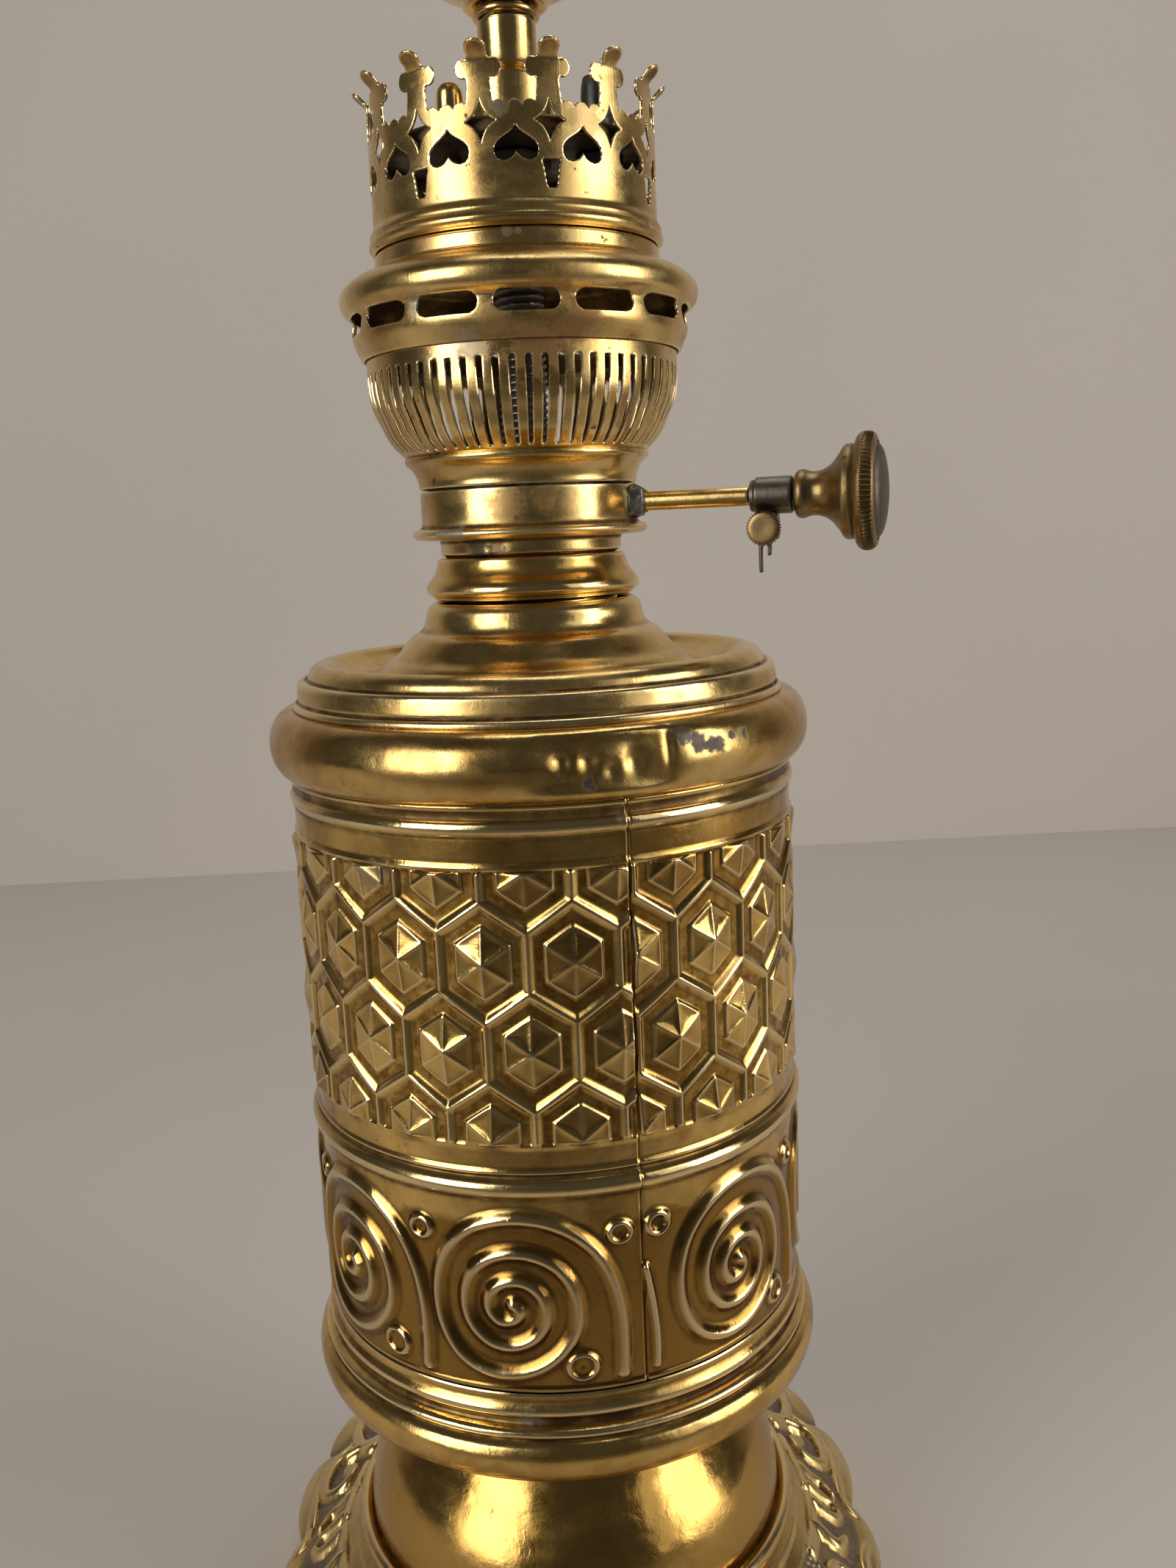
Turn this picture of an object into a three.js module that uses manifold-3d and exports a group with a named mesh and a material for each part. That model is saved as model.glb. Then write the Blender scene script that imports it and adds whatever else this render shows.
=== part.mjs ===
// An oil lantern of embossed brass whose burner carries an electric lamp holder.
// Millimetres, +Z up. The origin lies on the ground under the foot's centre, and the front faces -Y.
// Angles about Z are measured from the front, positive towards +X.

import * as THREE from "three";
import { mergeVertices } from "three/addons/utils/BufferGeometryUtils.js";
import Module from "manifold-3d";

const wasm = await Module();
wasm.setup();

const degree = Math.PI / 180;
const quarter = Math.PI / 2;

// General sizes
const gap = 0.3; // between pieces that touch
const overrun = 2; // of a cut past the face that it opens
const weld = 1e-3; // distance below which two points are one
const bodySheet = 0.8; // brass of the foot, body and font
const burnerSheet = 0.65; // thinner brass of the burner

// Facets round a turned piece
const bodyFacets = 24;
const burnerFacets = 28;
const plainFacets = 16;
const smallFacets = 12;
const boreFacets = 8;

// Foot: a cast square with lobes round its edge, hollow below, with a flat top for the pedestal
const foot = {
  halfWidth: 70,
  squareness: 4.5,
  lobes: 16,
  lobeRise: 3.5,
  facetsPerLobe: 3,
  rimHeight: 8,
  height: 31,
  wall: 3.2,
  topRadius: 51,
  podRise: 1.6,
};

// Carved arms of the foot: places on a quarter, measured along and across its diagonal
const arm = {
  lines: [[[55, 9], [68, 11], [80, 5]], [[54, 17], [63, 28]]],
  radius: 2,
  endRadius: 1.3,
};

// Tie rod through foot, pedestal and the body's floor
const tieRod = { radius: 4, above: 5, below: 4 };
const tieNut = { flats: 13, thickness: 6.5 };
const footWasher = { radius: 17, thickness: 1.6 };

// Pedestal: a spun bulb with a rim ring at its base
const pedestal = {
  height: 35.4,
  flangeRadius: 44,
  ringRadius: 49.8,
  ringHeight: 4,
  bulbRadius: 47.2,
  bulbCoreRadius: 25,
  bulbHalfHeight: 24,
  bulbFrom: -22,
  bulbTo: 66,
  bulbSteps: 4,
};

// Body: an embossed sheet cylinder between the base moulding and the shoulder roll
const moulding = { height: 26, projection: 4, neckProjection: 1, flangeInnerRadius: 30 };
const floorPlate = { edgeClearance: 1, thickness: 1.2 };
const shell = {
  height: 117.1,
  beadRise: 1.6,
  bandRise: 0.4,
  bandBottomShare: 0.451,
  bandTopShare: 0.891,
  seamAngle: 16.2,
  seamWidth: 0.5,
};

// Pyramids embossed in the upper band, in rows of hexagons counted leftwards from the seam
const emboss = {
  rows: 4,
  pitchAngle: 18.3,
  columns: [20, 19],
  starts: [2.5, 11.6],
  halfWidth: 6.6,
  stretch: 1.18,
  rise: 2.1,
};

// Spirals embossed in the lower band, each with a tail that runs down on its right
const scroll = {
  angles: [-56.1, -13.3, 42, 87, 132, 177, 222, 264],
  levelShare: 0.16,
  outerRadius: 17.5,
  pitch: 6.4,
  turns: 2.25,
  stepsPerTurn: 8,
  halfWidth: 1.2,
  rise: 1.6,
  tailAcross: 22.4,
  tailDrop: 15.5,
};
const roll = { projection: 4, halfWidth: 4.8, halfHeight: 6.1, crestAngle: 60, steps: 4 };

// Font: a drop-in tank under a spun cover, with a threaded collar for the burner
const tank = { radius: 46.4, clearance: 6.6, depth: 112, cornerRadius: 5, rise: 5.7 };
const cover = { lipInset: 1.6, height: 21, neckRadius: 20.8 };
const collar = { radius: 22.5, height: 8.7, threadRadius: 18.6 };

// Burner: threaded cup, slotted basket, gallery ring and pierced crown
const cup = {
  neckRadius: 18.9,
  neckHeight: 3.2,
  skirtDepth: 10,
  flangeRadius: 24.7,
  flangeHeight: 2.4,
  bandRadius: 22.3,
  bandHeight: 7.6,
};
const basket = {
  height: 25.9,
  neckRadius: 22.4,
  bowlRadius: 31.5,
  slits: 64,
  slitWidth: 1.4,
  slitFrom: 6.8,
  slitTo: 23.1,
  slitPhase: 2.1,
};
const gallery = {
  wallRadius: 33.7,
  flangeRadius: 36,
  shoulderHeight: 19.2,
  bandRadius: 28.5,
  guideHeight: 4.6,
  slots: 14,
  slotLength: 12.2,
  slotHeight: 3.7,
  slotCentre: 6,
  slotPhase: 2.3,
  slotEndSteps: 3,
};
const crown = {
  radius: 28.3,
  thickness: 0.6,
  beadRise: 1,
  beadHeight: 4,
  height: 21.5,
  repeats: 14,
  tabPhase: 14.4,
  heartPhase: 1.5,
};
const heart = { halfWidth: 4, height: 6, rise: 11.3, steps: 2 };
const star = { halfWidth: 2.6, height: 6.2, rise: 14.3, steps: 2 };
const keyhole = { halfWidth: 1.6, footHalfWidth: 0.9, height: 4.6, rise: 6.6, every: 2 };
const scallop = { count: 3, depth: 0.8, steps: 2 };
const tab = {
  stemHalfWidth: 2.02,
  height: 8.2,
  armHalfWidth: 4.1,
  armRise: 5.4,
  armRadius: 1.35,
  tipRadius: 1.95,
  tipLength: 4,
  tipLean: 38,
  rootDepth: 0.5,
  thicknessShare: 0.8,
  armSteps: 3,
  tipSteps: 4,
};

// Wick raiser: a spindle in a tube that leaves the burner's cup, with a locking sleeve and a knob
const spindle = { angle: 71, rise: 6.3, radius: 1.2, innerEnd: 9.6, tubeRadius: 1.9, wheelRadius: 3.9 };
const wheel = { teeth: 12, thickness: 1.5, rootShare: 0.72 };
const boss = { start: 21.2, end: 25.4, halfWidth: 3.2, halfHeight: 3.6, taperShare: 0.72 };
const sleeve = { start: 46.7, length: 8.6, radius: 3.65, collarRadius: 3.1, collarLength: 1 };
const lug = { halfWidth: 2.25, halfDepth: 2.1, drop: 8.6 };
const clampScrew = { headRadius: 3.5, headThickness: 2, shankRadius: 1.1, nutEnd: 3.2 };
const pin = { wireRadius: 0.42, eyeRadius: 1.75, longLeg: 8.3, shortLeg: 5, spread: 0.85, eyeSteps: 6 };
const knob = {
  length: 16.2,
  hubRadius: 4.75,
  waistRadius: 4.3,
  shoulderRadius: 9.2,
  rimRadius: 11.4,
  faceRadius: 9.3,
  faceDepth: 1.2,
  faceRise: 1.9,
};

// Electric fitting: a threaded pipe on the axis that clamps the cover plate, stem and lamp holder
const pipe = { radius: 5, bore: 3.6, below: 8, aboveCap: 7 };
const pipeNut = { flats: 14, thickness: 3 };
const plate = { radius: 26.2, thickness: 1, lip: 2, rise: 18.6 };
const stem = { hubRadius: 8.5, hubHeight: 13.7, radius: 5.8, length: 23.4 };
const stemRing = { radius: 6.7, height: 1.7 };
const gland = { angle: 94, distance: 17.4, radius: 3.2, bore: 2.3, height: 13.5 };
const glandNutSize = { flats: 9, thickness: 2 };
const plateScrew = { angle: -90, distance: 11.9, headRadius: 2.6, stemRadius: 1.6, height: 13 };
const cap = { neckRadius: 8.6, radius: 20, height: 20, floorHeight: 3.2 };
const holder = { radius: 20, height: 39, beadRise: 0.5 };
const insert = { radius: 15.8, rise: 9.5, height: 10.2, flangeHeight: 4.5 };
const bulbThread = { innerRadius: 13.3, depth: 24 };
const contact = { radius: 3.4, height: 3.2, bore: 1.4 };
const terminal = { radius: 1.9, height: 3, distance: 12.5 };
const rimRing = { thickness: 3.2 };

// Radii of the body, from the font's tank outwards
const shellRadius = tank.radius + tank.clearance;
const rollRadius = shellRadius + roll.projection;
const mouldingRadius = shellRadius + moulding.projection;
const mouldingNeck = shellRadius + moulding.neckProjection;
const lipRadius = shellRadius - cover.lipInset;

// Levels, from the ground up, each piece standing on the one below
const pedestalBase = foot.height + gap;
const mouldingBase = pedestalBase + pedestal.height + gap;
const floorBase = mouldingBase + bodySheet + gap;
const floorTop = floorBase + floorPlate.thickness;
const shellBase = mouldingBase + moulding.height + gap;
const shellTop = shellBase + shell.height;
const rollCentre = shellTop + gap + roll.halfHeight;
const coverBase = rollCentre + roll.halfHeight + gap;
const collarBase = coverBase + cover.height + gap;
const cupNeckBase = collarBase + collar.height + gap;
const flangeBase = cupNeckBase + cup.neckHeight;
const spindleLevel = flangeBase + spindle.rise;
const bandBase = flangeBase + cup.flangeHeight;
const cupTop = bandBase + cup.bandHeight;
const basketBase = cupTop + gap;
const basketTop = basketBase + basket.height;
const galleryBase = basketTop + gap;
const galleryShoulder = galleryBase + gallery.shoulderHeight;
const crownBase = galleryShoulder + gap;
const crownTop = crownBase + crown.height;
const cupFloor = flangeBase + burnerSheet + gap;
const cupFloorTop = cupFloor + 2 * burnerSheet;
const plateBase = crownBase + plate.rise;
const plateTop = plateBase + plate.thickness;
const stemBase = plateTop + gap;
const stemTop = stemBase + stem.length;
const stemRingBase = stemTop + gap;
const capBase = stemRingBase + stemRing.height + gap;
const capTop = capBase + cap.height;
const holderBase = capTop + gap;
const holderTop = holderBase + holder.height;
const insertBase = capBase + insert.rise;
const insertTop = insertBase + insert.height;

// Finishes
function finish(color, roughness, metalness) {
  return new THREE.MeshStandardMaterial({ color, roughness, metalness });
}

const brass = finish(0xb88a3e, 0.28, 1);
const agedBrass = finish(0x8f6a32, 0.42, 1);
const castBrass = finish(0xa98242, 0.4, 1);
const iron = finish(0x5b5752, 0.5, 1);
const steel = finish(0x4b4a47, 0.45, 1);
const solder = finish(0x85827b, 0.55, 0.8);
const porcelain = finish(0xe9e4d8, 0.3, 0);
const plastic = finish(0x17171a, 0.45, 0);

/** A closed mesh as a solid for cutting and joining. */
function solid(geometry) {
  const bare = new THREE.BufferGeometry();
  bare.setAttribute("position", geometry.getAttribute("position"));
  bare.setIndex(geometry.getIndex());
  const merged = mergeVertices(bare, weld);
  const vertProperties = merged.getAttribute("position").array;
  const triVerts = new Uint32Array(merged.getIndex().array);
  return new wasm.Manifold(new wasm.Mesh({ numProp: 3, vertProperties, triVerts }));
}

/** A solid back as a faceted geometry. */
function faceted(body) {
  const { vertProperties, triVerts } = body.getMesh();
  const geometry = new THREE.BufferGeometry();
  geometry.setAttribute("position", new THREE.BufferAttribute(vertProperties, 3));
  geometry.setIndex(new THREE.BufferAttribute(triVerts, 1));
  const flat = geometry.toNonIndexed();
  flat.computeVertexNormals();
  return flat;
}

/** The geometry of a piece with others joined to it. */
function join(first, ...others) {
  return faceted(others.reduce((sum, other) => sum.add(solid(other)), solid(first)));
}

/** The geometry of a piece with others cut out of it. */
function cut(first, ...others) {
  return faceted(others.reduce((rest, other) => rest.subtract(solid(other)), solid(first)));
}

/** A solid of revolution about Z, from an outline of [radius, height] points that closes on itself. */
function turned(outline, facets, start = 0) {
  const points = outline.map(([radius, height]) => new THREE.Vector2(radius, height));
  if (THREE.ShapeUtils.isClockWise(points)) points.reverse();
  const onAxis = points.filter((point) => point.x === 0).length > 1;
  while (onAxis && !(points[0].x === 0 && points[points.length - 1].x === 0)) points.push(points.shift());
  if (!onAxis) points.push(points[0].clone());
  return new THREE.LatheGeometry(points, facets, start).rotateX(quarter);
}

/** Outline points given as shares of the way from one corner to another. */
function spread([r0, z0], [r1, z1], shares) {
  return shares.map(([r, z]) => [r0 + (r1 - r0) * r, z0 + (z1 - z0) * z]);
}

/** Points of an arc of an ellipse in the plane of radius and height. */
function arc([r, z], halfWidth, halfHeight, from, to, steps) {
  return Array.from({ length: steps + 1 }, (_, i) => {
    const angle = (from + ((to - from) * i) / steps) * degree;
    return [r + halfWidth * Math.cos(angle), z + halfHeight * Math.sin(angle)];
  });
}

/** A disc or ring between two radii and two heights. */
function ring(inner, outer, bottom, top, facets) {
  const outline = [[inner, bottom], [outer, bottom], [outer, top], [inner, top]];
  return turned(outline, facets);
}

/** A flat outline stood up at the front, from one radius outwards, and turned to an angle. */
function facing(shape, radius, depth, angle, curveSegments = 1) {
  const upright = new THREE.ExtrudeGeometry(shape, { depth, bevelEnabled: false, curveSegments });
  return upright.translate(0, 0, radius).rotateX(quarter).rotateZ(angle * degree);
}

/** Copies of a cutter or piece round Z, made by a function of the angle. */
function around(count, from, made) {
  return Array.from({ length: count }, (_, i) => made(from + (360 * i) / count));
}

/** A hexagonal nut with its bore. */
function hexNut(flats, thickness, bore, bottom) {
  const reach = flats / 2 / Math.cos(Math.PI / 6);
  const shape = polygon(Array.from({ length: 6 }, (_, i) => polar(reach, (i * Math.PI) / 3)));
  const hole = new THREE.Path();
  hole.absarc(0, 0, bore, 0, 2 * Math.PI, true);
  shape.holes.push(hole);
  const options = { depth: thickness, bevelEnabled: false, curveSegments: smallFacets / 2 };
  return new THREE.ExtrudeGeometry(shape, options).translate(0, 0, bottom);
}

const polar = (radius, angle) => [radius * Math.cos(angle), radius * Math.sin(angle)];

/** A shape through a list of points. */
const polygon = (points) => new THREE.Shape(points.map(([x, y]) => new THREE.Vector2(x, y)));

const lantern = new THREE.Group();

/** Adds a piece to a group under its name. */
function piece(name, geometry, material, parent = lantern) {
  const mesh = new THREE.Mesh(geometry, material);
  mesh.name = name;
  parent.add(mesh);
  return mesh;
}

// Foot

/** Radius of the foot's edge at an angle: a rounded square with lobes. */
function footEdge(angle) {
  const reach = Math.abs(Math.cos(angle)) ** foot.squareness + Math.abs(Math.sin(angle)) ** foot.squareness;
  const lobe = Math.abs(Math.cos((foot.lobes * angle) / 2));
  return foot.halfWidth * reach ** (-1 / foot.squareness) + foot.lobeRise * lobe;
}

/** A closed body through rings whose radius may change with the angle. */
function lofted(rings, facets) {
  const positions = [];
  const index = [];
  rings.forEach((levelAt) => {
    for (let i = 0; i < facets; i += 1) {
      const angle = (2 * Math.PI * i) / facets;
      const [radius, height] = levelAt(angle);
      positions.push(...polar(radius, angle), height);
    }
  });
  rings.forEach((_, level) => {
    const next = (level + 1) % rings.length;
    for (let i = 0; i < facets; i += 1) {
      const j = (i + 1) % facets;
      const [a, b] = [level * facets + i, level * facets + j];
      const [c, d] = [next * facets + j, next * facets + i];
      index.push(a, b, c, a, c, d);
    }
  });
  const geometry = new THREE.BufferGeometry();
  geometry.setAttribute("position", new THREE.Float32BufferAttribute(positions, 3));
  geometry.setIndex(index);
  return geometry;
}

function footCasting() {
  // Shares of the way from the edge to the top plate, and of the rise between them
  const slopeShares = [[0, 0], [0.55, 0.5], [1, 1]];
  // Shares of the slope where the swellings under the lobes lie
  const podShares = [[0.12, 0.11], [0.3, 0.27]];
  const slope = (inset, drop) => ([across, up]) => (angle) => {
    const edge = footEdge(angle) - inset;
    const rise = foot.height - foot.rimHeight;
    return [edge + (foot.topRadius - inset - edge) * across, foot.rimHeight - drop + rise * up];
  };
  const pods = podShares.map(slope(0, 0)).map((levelAt) => (angle) => {
    const [radius, height] = levelAt(angle);
    return [radius, height + foot.podRise * Math.cos((foot.lobes * angle) / 2) ** 2];
  });
  const [rim, ...flank] = slopeShares.map(slope(0, 0));
  const hole = tieRod.radius + gap;
  const inside = [slopeShares[0], slopeShares[2]].map(slope(foot.wall, foot.wall));
  const rings = [
    (angle) => [footEdge(angle), 0],
    rim,
    ...pods,
    ...flank,
    () => [hole, foot.height],
    () => [hole, foot.height - foot.wall],
    ...inside.reverse(),
    (angle) => [footEdge(angle) - foot.wall, 0],
  ];
  return join(lofted(rings, foot.lobes * foot.facetsPerLobe), ...carvedArms());
}

/** A place on the foot's slope, from its distances along and across a quarter's diagonal. */
function onSlope([along, across], quarterTurn) {
  const reach = Math.hypot(along, across);
  const angle = Math.atan2(across, along) + quarter / 2 + quarterTurn;
  const share = (reach - foot.topRadius) / (footEdge(angle) - foot.topRadius);
  const [x, y] = polar(reach, angle);
  return new THREE.Vector3(x, y, foot.height + (foot.rimHeight - foot.height) * share);
}

/** Four-sided bars that lie half sunk in the slope. */
function carvedArms() {
  const bars = [];
  for (let corner = 0; corner < 4; corner += 1) {
    arm.lines.forEach((line) => [1, -1].forEach((side) => {
      const places = line.map(([along, across]) => onSlope([along, side * across], corner * quarter));
      places.slice(1).forEach((to, i) => {
        const from = places[i];
        const bar = new THREE.CylinderGeometry(arm.endRadius, arm.radius, from.distanceTo(to), 4);
        const course = to.clone().sub(from).normalize();
        const turn = new THREE.Quaternion().setFromUnitVectors(new THREE.Vector3(0, 1, 0), course);
        bars.push(bar.applyQuaternion(turn).translate(...from.clone().lerp(to, 0.5)));
      });
    }));
  }
  return bars;
}

piece("foot", footCasting(), castBrass);

// Pedestal

function pedestalBulb() {
  const { flangeRadius, ringRadius, ringHeight, bulbRadius, bulbCoreRadius, bulbHalfHeight } = pedestal;
  const base = pedestalBase;
  const top = base + pedestal.height;
  const halfWidth = bulbRadius - bulbCoreRadius;
  const level = top - bulbHalfHeight * Math.sin(pedestal.bulbTo * degree);
  const bulb = (inset, steps) => {
    const centre = [bulbCoreRadius, level - inset];
    return arc(centre, halfWidth - inset, bulbHalfHeight, pedestal.bulbFrom, pedestal.bulbTo, steps);
  };
  // Shares of the rim ring's width and height
  const ringShares = [[0.8, 0], [1, 0.4], [0.7, 1]];
  const hole = tieRod.radius + gap;
  const outline = [
    [flangeRadius, base],
    ...spread([flangeRadius, base], [ringRadius, base + ringHeight], ringShares),
    ...bulb(0, pedestal.bulbSteps),
    [hole, top],
    [hole, top - bodySheet],
    ...bulb(2 * bodySheet, pedestal.bulbSteps / 2).reverse(),
    [flangeRadius, base + ringHeight / 2],
  ];
  return turned(outline, bodyFacets);
}

piece("ball_pedestal", pedestalBulb(), brass);

// Body

function baseMoulding() {
  const base = mouldingBase;
  const top = base + moulding.height;
  // Shares of the way from the shell's radius to the torus, and of the height
  const outerShares = [
    [-0.3, 0.01], [0.6, 0.17], [1, 0.46], [0.38, 0.68], [0.66, 0.74], [0.1, 0.83], [0, 1],
  ];
  const innerShares = [[0, 1], [0.3, 0.5], [-0.3, 0.1]];
  const inset = bodySheet;
  const flangeEdge = mouldingNeck - 2 * inset;
  const outline = [
    [moulding.flangeInnerRadius, base],
    ...spread([mouldingNeck, base], [mouldingRadius, top], outerShares),
    ...spread([mouldingNeck - inset, base], [mouldingRadius - 2 * inset, top], innerShares),
    [flangeEdge, base + inset],
    [moulding.flangeInnerRadius, base + inset],
  ];
  return turned(outline, bodyFacets);
}

/** A flat relief, drawn upright with its back at zero, laid on the shell at an angle. */
function wrapped(relief, angle) {
  const places = relief.getAttribute("position");
  const back = shellRadius * Math.cos(Math.PI / bodyFacets) - bodySheet / 8;
  for (let i = 0; i < places.count; i += 1) {
    const turn = places.getX(i) / shellRadius + angle * degree;
    const radius = back + places.getZ(i);
    places.setXYZ(i, radius * Math.sin(turn), -radius * Math.cos(turn), places.getY(i));
  }
  return relief;
}

function embossedPyramids() {
  const { rows, pitchAngle, columns, starts, halfWidth, stretch, rise } = emboss;
  const bottom = shellBase + shell.height * shell.bandBottomShare;
  const top = shellBase + shell.height * shell.bandTopShare;
  const rowPitch = (top - bottom) / (rows - 1);
  const pyramids = [];
  for (let row = 0; row < rows; row += 1) {
    for (let column = 0; column < columns[row % 2]; column += 1) {
      const pyramid = new THREE.ConeGeometry(halfWidth / Math.cos(Math.PI / 6), rise, 6);
      pyramid.rotateX(quarter).scale(1, stretch, 1).translate(0, top - row * rowPitch, rise / 2);
      pyramids.push(wrapped(pyramid, shell.seamAngle - starts[row % 2] - column * pitchAngle));
    }
  }
  const trim = (from, to) => {
    return ring(shellRadius - overrun, shellRadius + rise + overrun, from, to, bodyFacets);
  };
  return cut(join(...pyramids), trim(top, top + rowPitch), trim(bottom - rowPitch, bottom));
}

/** The outline of a strip of even width along a line. */
function strip(line, halfWidth) {
  const edge = (side) => line.map(([x, y], i) => {
    const [ax, ay] = line[Math.max(i - 1, 0)];
    const [bx, by] = line[Math.min(i + 1, line.length - 1)];
    const reach = (side * halfWidth) / Math.hypot(bx - ax, by - ay);
    return [x - (by - ay) * reach, y + (bx - ax) * reach];
  });
  return polygon([...edge(1), ...edge(-1).reverse()]);
}

function embossedScrolls() {
  const { angles, levelShare, outerRadius, pitch, turns, stepsPerTurn } = scroll;
  const spiral = Array.from({ length: turns * stepsPerTurn + 1 }, (_, i) => {
    const wound = i / stepsPerTurn;
    return polar(outerRadius - pitch * wound, quarter + 2 * Math.PI * wound);
  });
  const shoulder = polar(scroll.tailAcross, quarter / 2);
  const line = [[scroll.tailAcross, -scroll.tailDrop], [scroll.tailAcross, 0], shoulder, ...spiral];
  const level = shellBase + shell.height * levelShare;
  return angles.map((angle) => {
    const options = { depth: scroll.rise, bevelEnabled: false };
    const flat = new THREE.ExtrudeGeometry(strip(line, scroll.halfWidth), options);
    return wrapped(flat.translate(0, level, 0), angle);
  });
}

function bodyShell() {
  const { height, beadRise, bandRise, bandBottomShare, bandTopShare } = shell;
  // Shares of the bead's rise and of the shell's height: scroll band, beads, embossed band, beads
  const outerShares = [
    [0, 0], [0, 0.352], [1, 0.367], [0.25, 0.39], [0.25, 0.443], [0, bandBottomShare],
    [0, bandTopShare], [0.62, 0.9], [0.25, 0.912], [0.6, 0.962], [-0.06, 0.983], [0.4, 1],
  ];
  const outline = [
    ...spread([shellRadius, shellBase], [shellRadius + beadRise, shellBase + height], outerShares),
    [shellRadius - bodySheet, shellTop],
    [shellRadius - bodySheet, shellBase],
  ];
  const seam = new THREE.BoxGeometry(shell.seamWidth, 2 * (beadRise + bandRise), height + 2 * overrun);
  seam.translate(0, -shellRadius - beadRise, shellBase + height / 2).rotateZ(shell.seamAngle * degree);
  return cut(join(turned(outline, bodyFacets), embossedPyramids(), ...embossedScrolls()), seam);
}

function shoulderRoll() {
  const centre = [rollRadius - roll.halfWidth, rollCentre];
  const { halfWidth, halfHeight, crestAngle, steps } = roll;
  const span = 180 - crestAngle;
  const reach = halfHeight / Math.sin(crestAngle * degree);
  const outer = arc(centre, halfWidth, reach, -span, span, steps);
  const inner = arc(centre, halfWidth - bodySheet, reach - bodySheet, span, -span, steps);
  return turned([...outer, ...inner], bodyFacets);
}

const rodBore = tieRod.radius + gap;
const floorRadius = shellRadius - bodySheet - floorPlate.edgeClearance;
piece("base_moulding", baseMoulding(), brass);
piece("body_floor", ring(rodBore, floorRadius, floorBase, floorTop, plainFacets), agedBrass);
piece("body_shell", bodyShell(), brass);
piece("shoulder_roll", shoulderRoll(), brass);

// Tie rod with its nuts

const footNutTop = foot.height - foot.wall - 2 * gap - footWasher.thickness;
const footNutBase = footNutTop - tieNut.thickness;
const tieNutBase = floorTop + gap;
const rodBase = footNutBase - tieRod.below;
const rodTop = tieNutBase + tieNut.thickness + tieRod.above;
const rod = new THREE.CylinderGeometry(tieRod.radius, tieRod.radius, rodTop - rodBase, smallFacets);
rod.rotateX(quarter).translate(0, 0, (rodTop + rodBase) / 2);
const washerBase = footNutTop + gap;
const washer = ring(rodBore, footWasher.radius, washerBase, washerBase + footWasher.thickness, smallFacets);
piece("tie_rod", rod, iron);
piece("foot_washer", washer, iron);
piece("foot_nut", hexNut(tieNut.flats, tieNut.thickness, rodBore, footNutBase), iron);
piece("tie_nut", hexNut(tieNut.flats, tieNut.thickness, rodBore, tieNutBase), iron);

// Font

function fontTank() {
  const top = coverBase + tank.rise;
  const bottom = coverBase - tank.depth;
  const { radius, cornerRadius } = tank;
  const inner = radius - bodySheet;
  const outline = [
    [0, bottom],
    [radius - cornerRadius, bottom],
    [radius, bottom + cornerRadius],
    [radius, top],
    [inner, top],
    [inner, bottom + cornerRadius],
    [inner - cornerRadius, bottom + bodySheet],
    [0, bottom + bodySheet],
  ];
  return turned(outline, plainFacets);
}

function fontCover() {
  // Shares from the neck to the lip and from the lip up: stepped lip, shoulder, moat, cone and neck
  const outerShares = [
    [1, 0], [0.98, 0.2], [0.855, 0.35], [0.775, 0.465],
    [0.735, 0.45], [0.61, 0.285], [0.5, 0.26], [0.225, 0.57], [0.07, 0.73], [0, 1],
  ];
  const innerShares = [
    [-0.02, 1], [0.04, 0.7], [0.485, 0.225], [0.62, 0.245], [0.755, 0.4], [0.96, 0.16], [0.975, 0],
  ];
  const neck = [cover.neckRadius, coverBase];
  const lip = [lipRadius, coverBase + cover.height];
  return turned([...spread(neck, lip, outerShares), ...spread(neck, lip, innerShares)], bodyFacets);
}

function fontCollar() {
  // Shares from the bore to the bead, and of the height
  const beadShares = [[0, 0], [0.56, 0], [1, 0.25], [0.97, 0.5], [0.3, 1], [0, 1]];
  const top = collarBase + collar.height;
  return turned(spread([collar.threadRadius, collarBase], [collar.radius, top], beadShares), plainFacets);
}

piece("font_tank", fontTank(), agedBrass);
piece("font_cover", fontCover(), brass);
piece("font_collar", fontCollar(), brass);

// Burner, turned to the angle at which its thread seats

const burner = new THREE.Group();
burner.rotation.z = spindle.angle * degree - quarter;
lantern.add(burner);

/** The angle of a place on the burner, from the spindle's side, for an angle from the front. */
const onBurner = (angle) => angle - spindle.angle + 90;

function burnerCup() {
  const { neckRadius, flangeRadius, bandRadius, flangeHeight } = cup;
  const skirtRadius = collar.threadRadius * Math.cos(Math.PI / plainFacets) - gap;
  const bottom = cupNeckBase - cup.skirtDepth;
  const skirtBore = skirtRadius - burnerSheet;
  const bandBore = bandRadius - burnerSheet;
  const outline = [
    [skirtRadius, bottom],
    [skirtRadius, cupNeckBase],
    [neckRadius, cupNeckBase],
    [neckRadius, flangeBase],
    [(flangeRadius + bandRadius) / 2, flangeBase],
    [flangeRadius, flangeBase + flangeHeight / 2],
    [bandRadius, bandBase],
    [bandRadius, cupTop],
    [bandBore, cupTop],
    [bandBore, cupFloorTop],
    [pipe.radius + gap, cupFloorTop],
    [pipe.radius + gap, cupFloor],
    [skirtBore, cupFloor],
    [skirtBore, bottom],
  ];
  const sideRadius = spindle.tubeRadius + gap;
  const side = new THREE.CylinderGeometry(sideRadius, sideRadius, bandRadius, boreFacets);
  side.rotateZ(quarter).translate(bandRadius, 0, spindleLevel);
  return cut(turned(outline, plainFacets), side);
}

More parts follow.
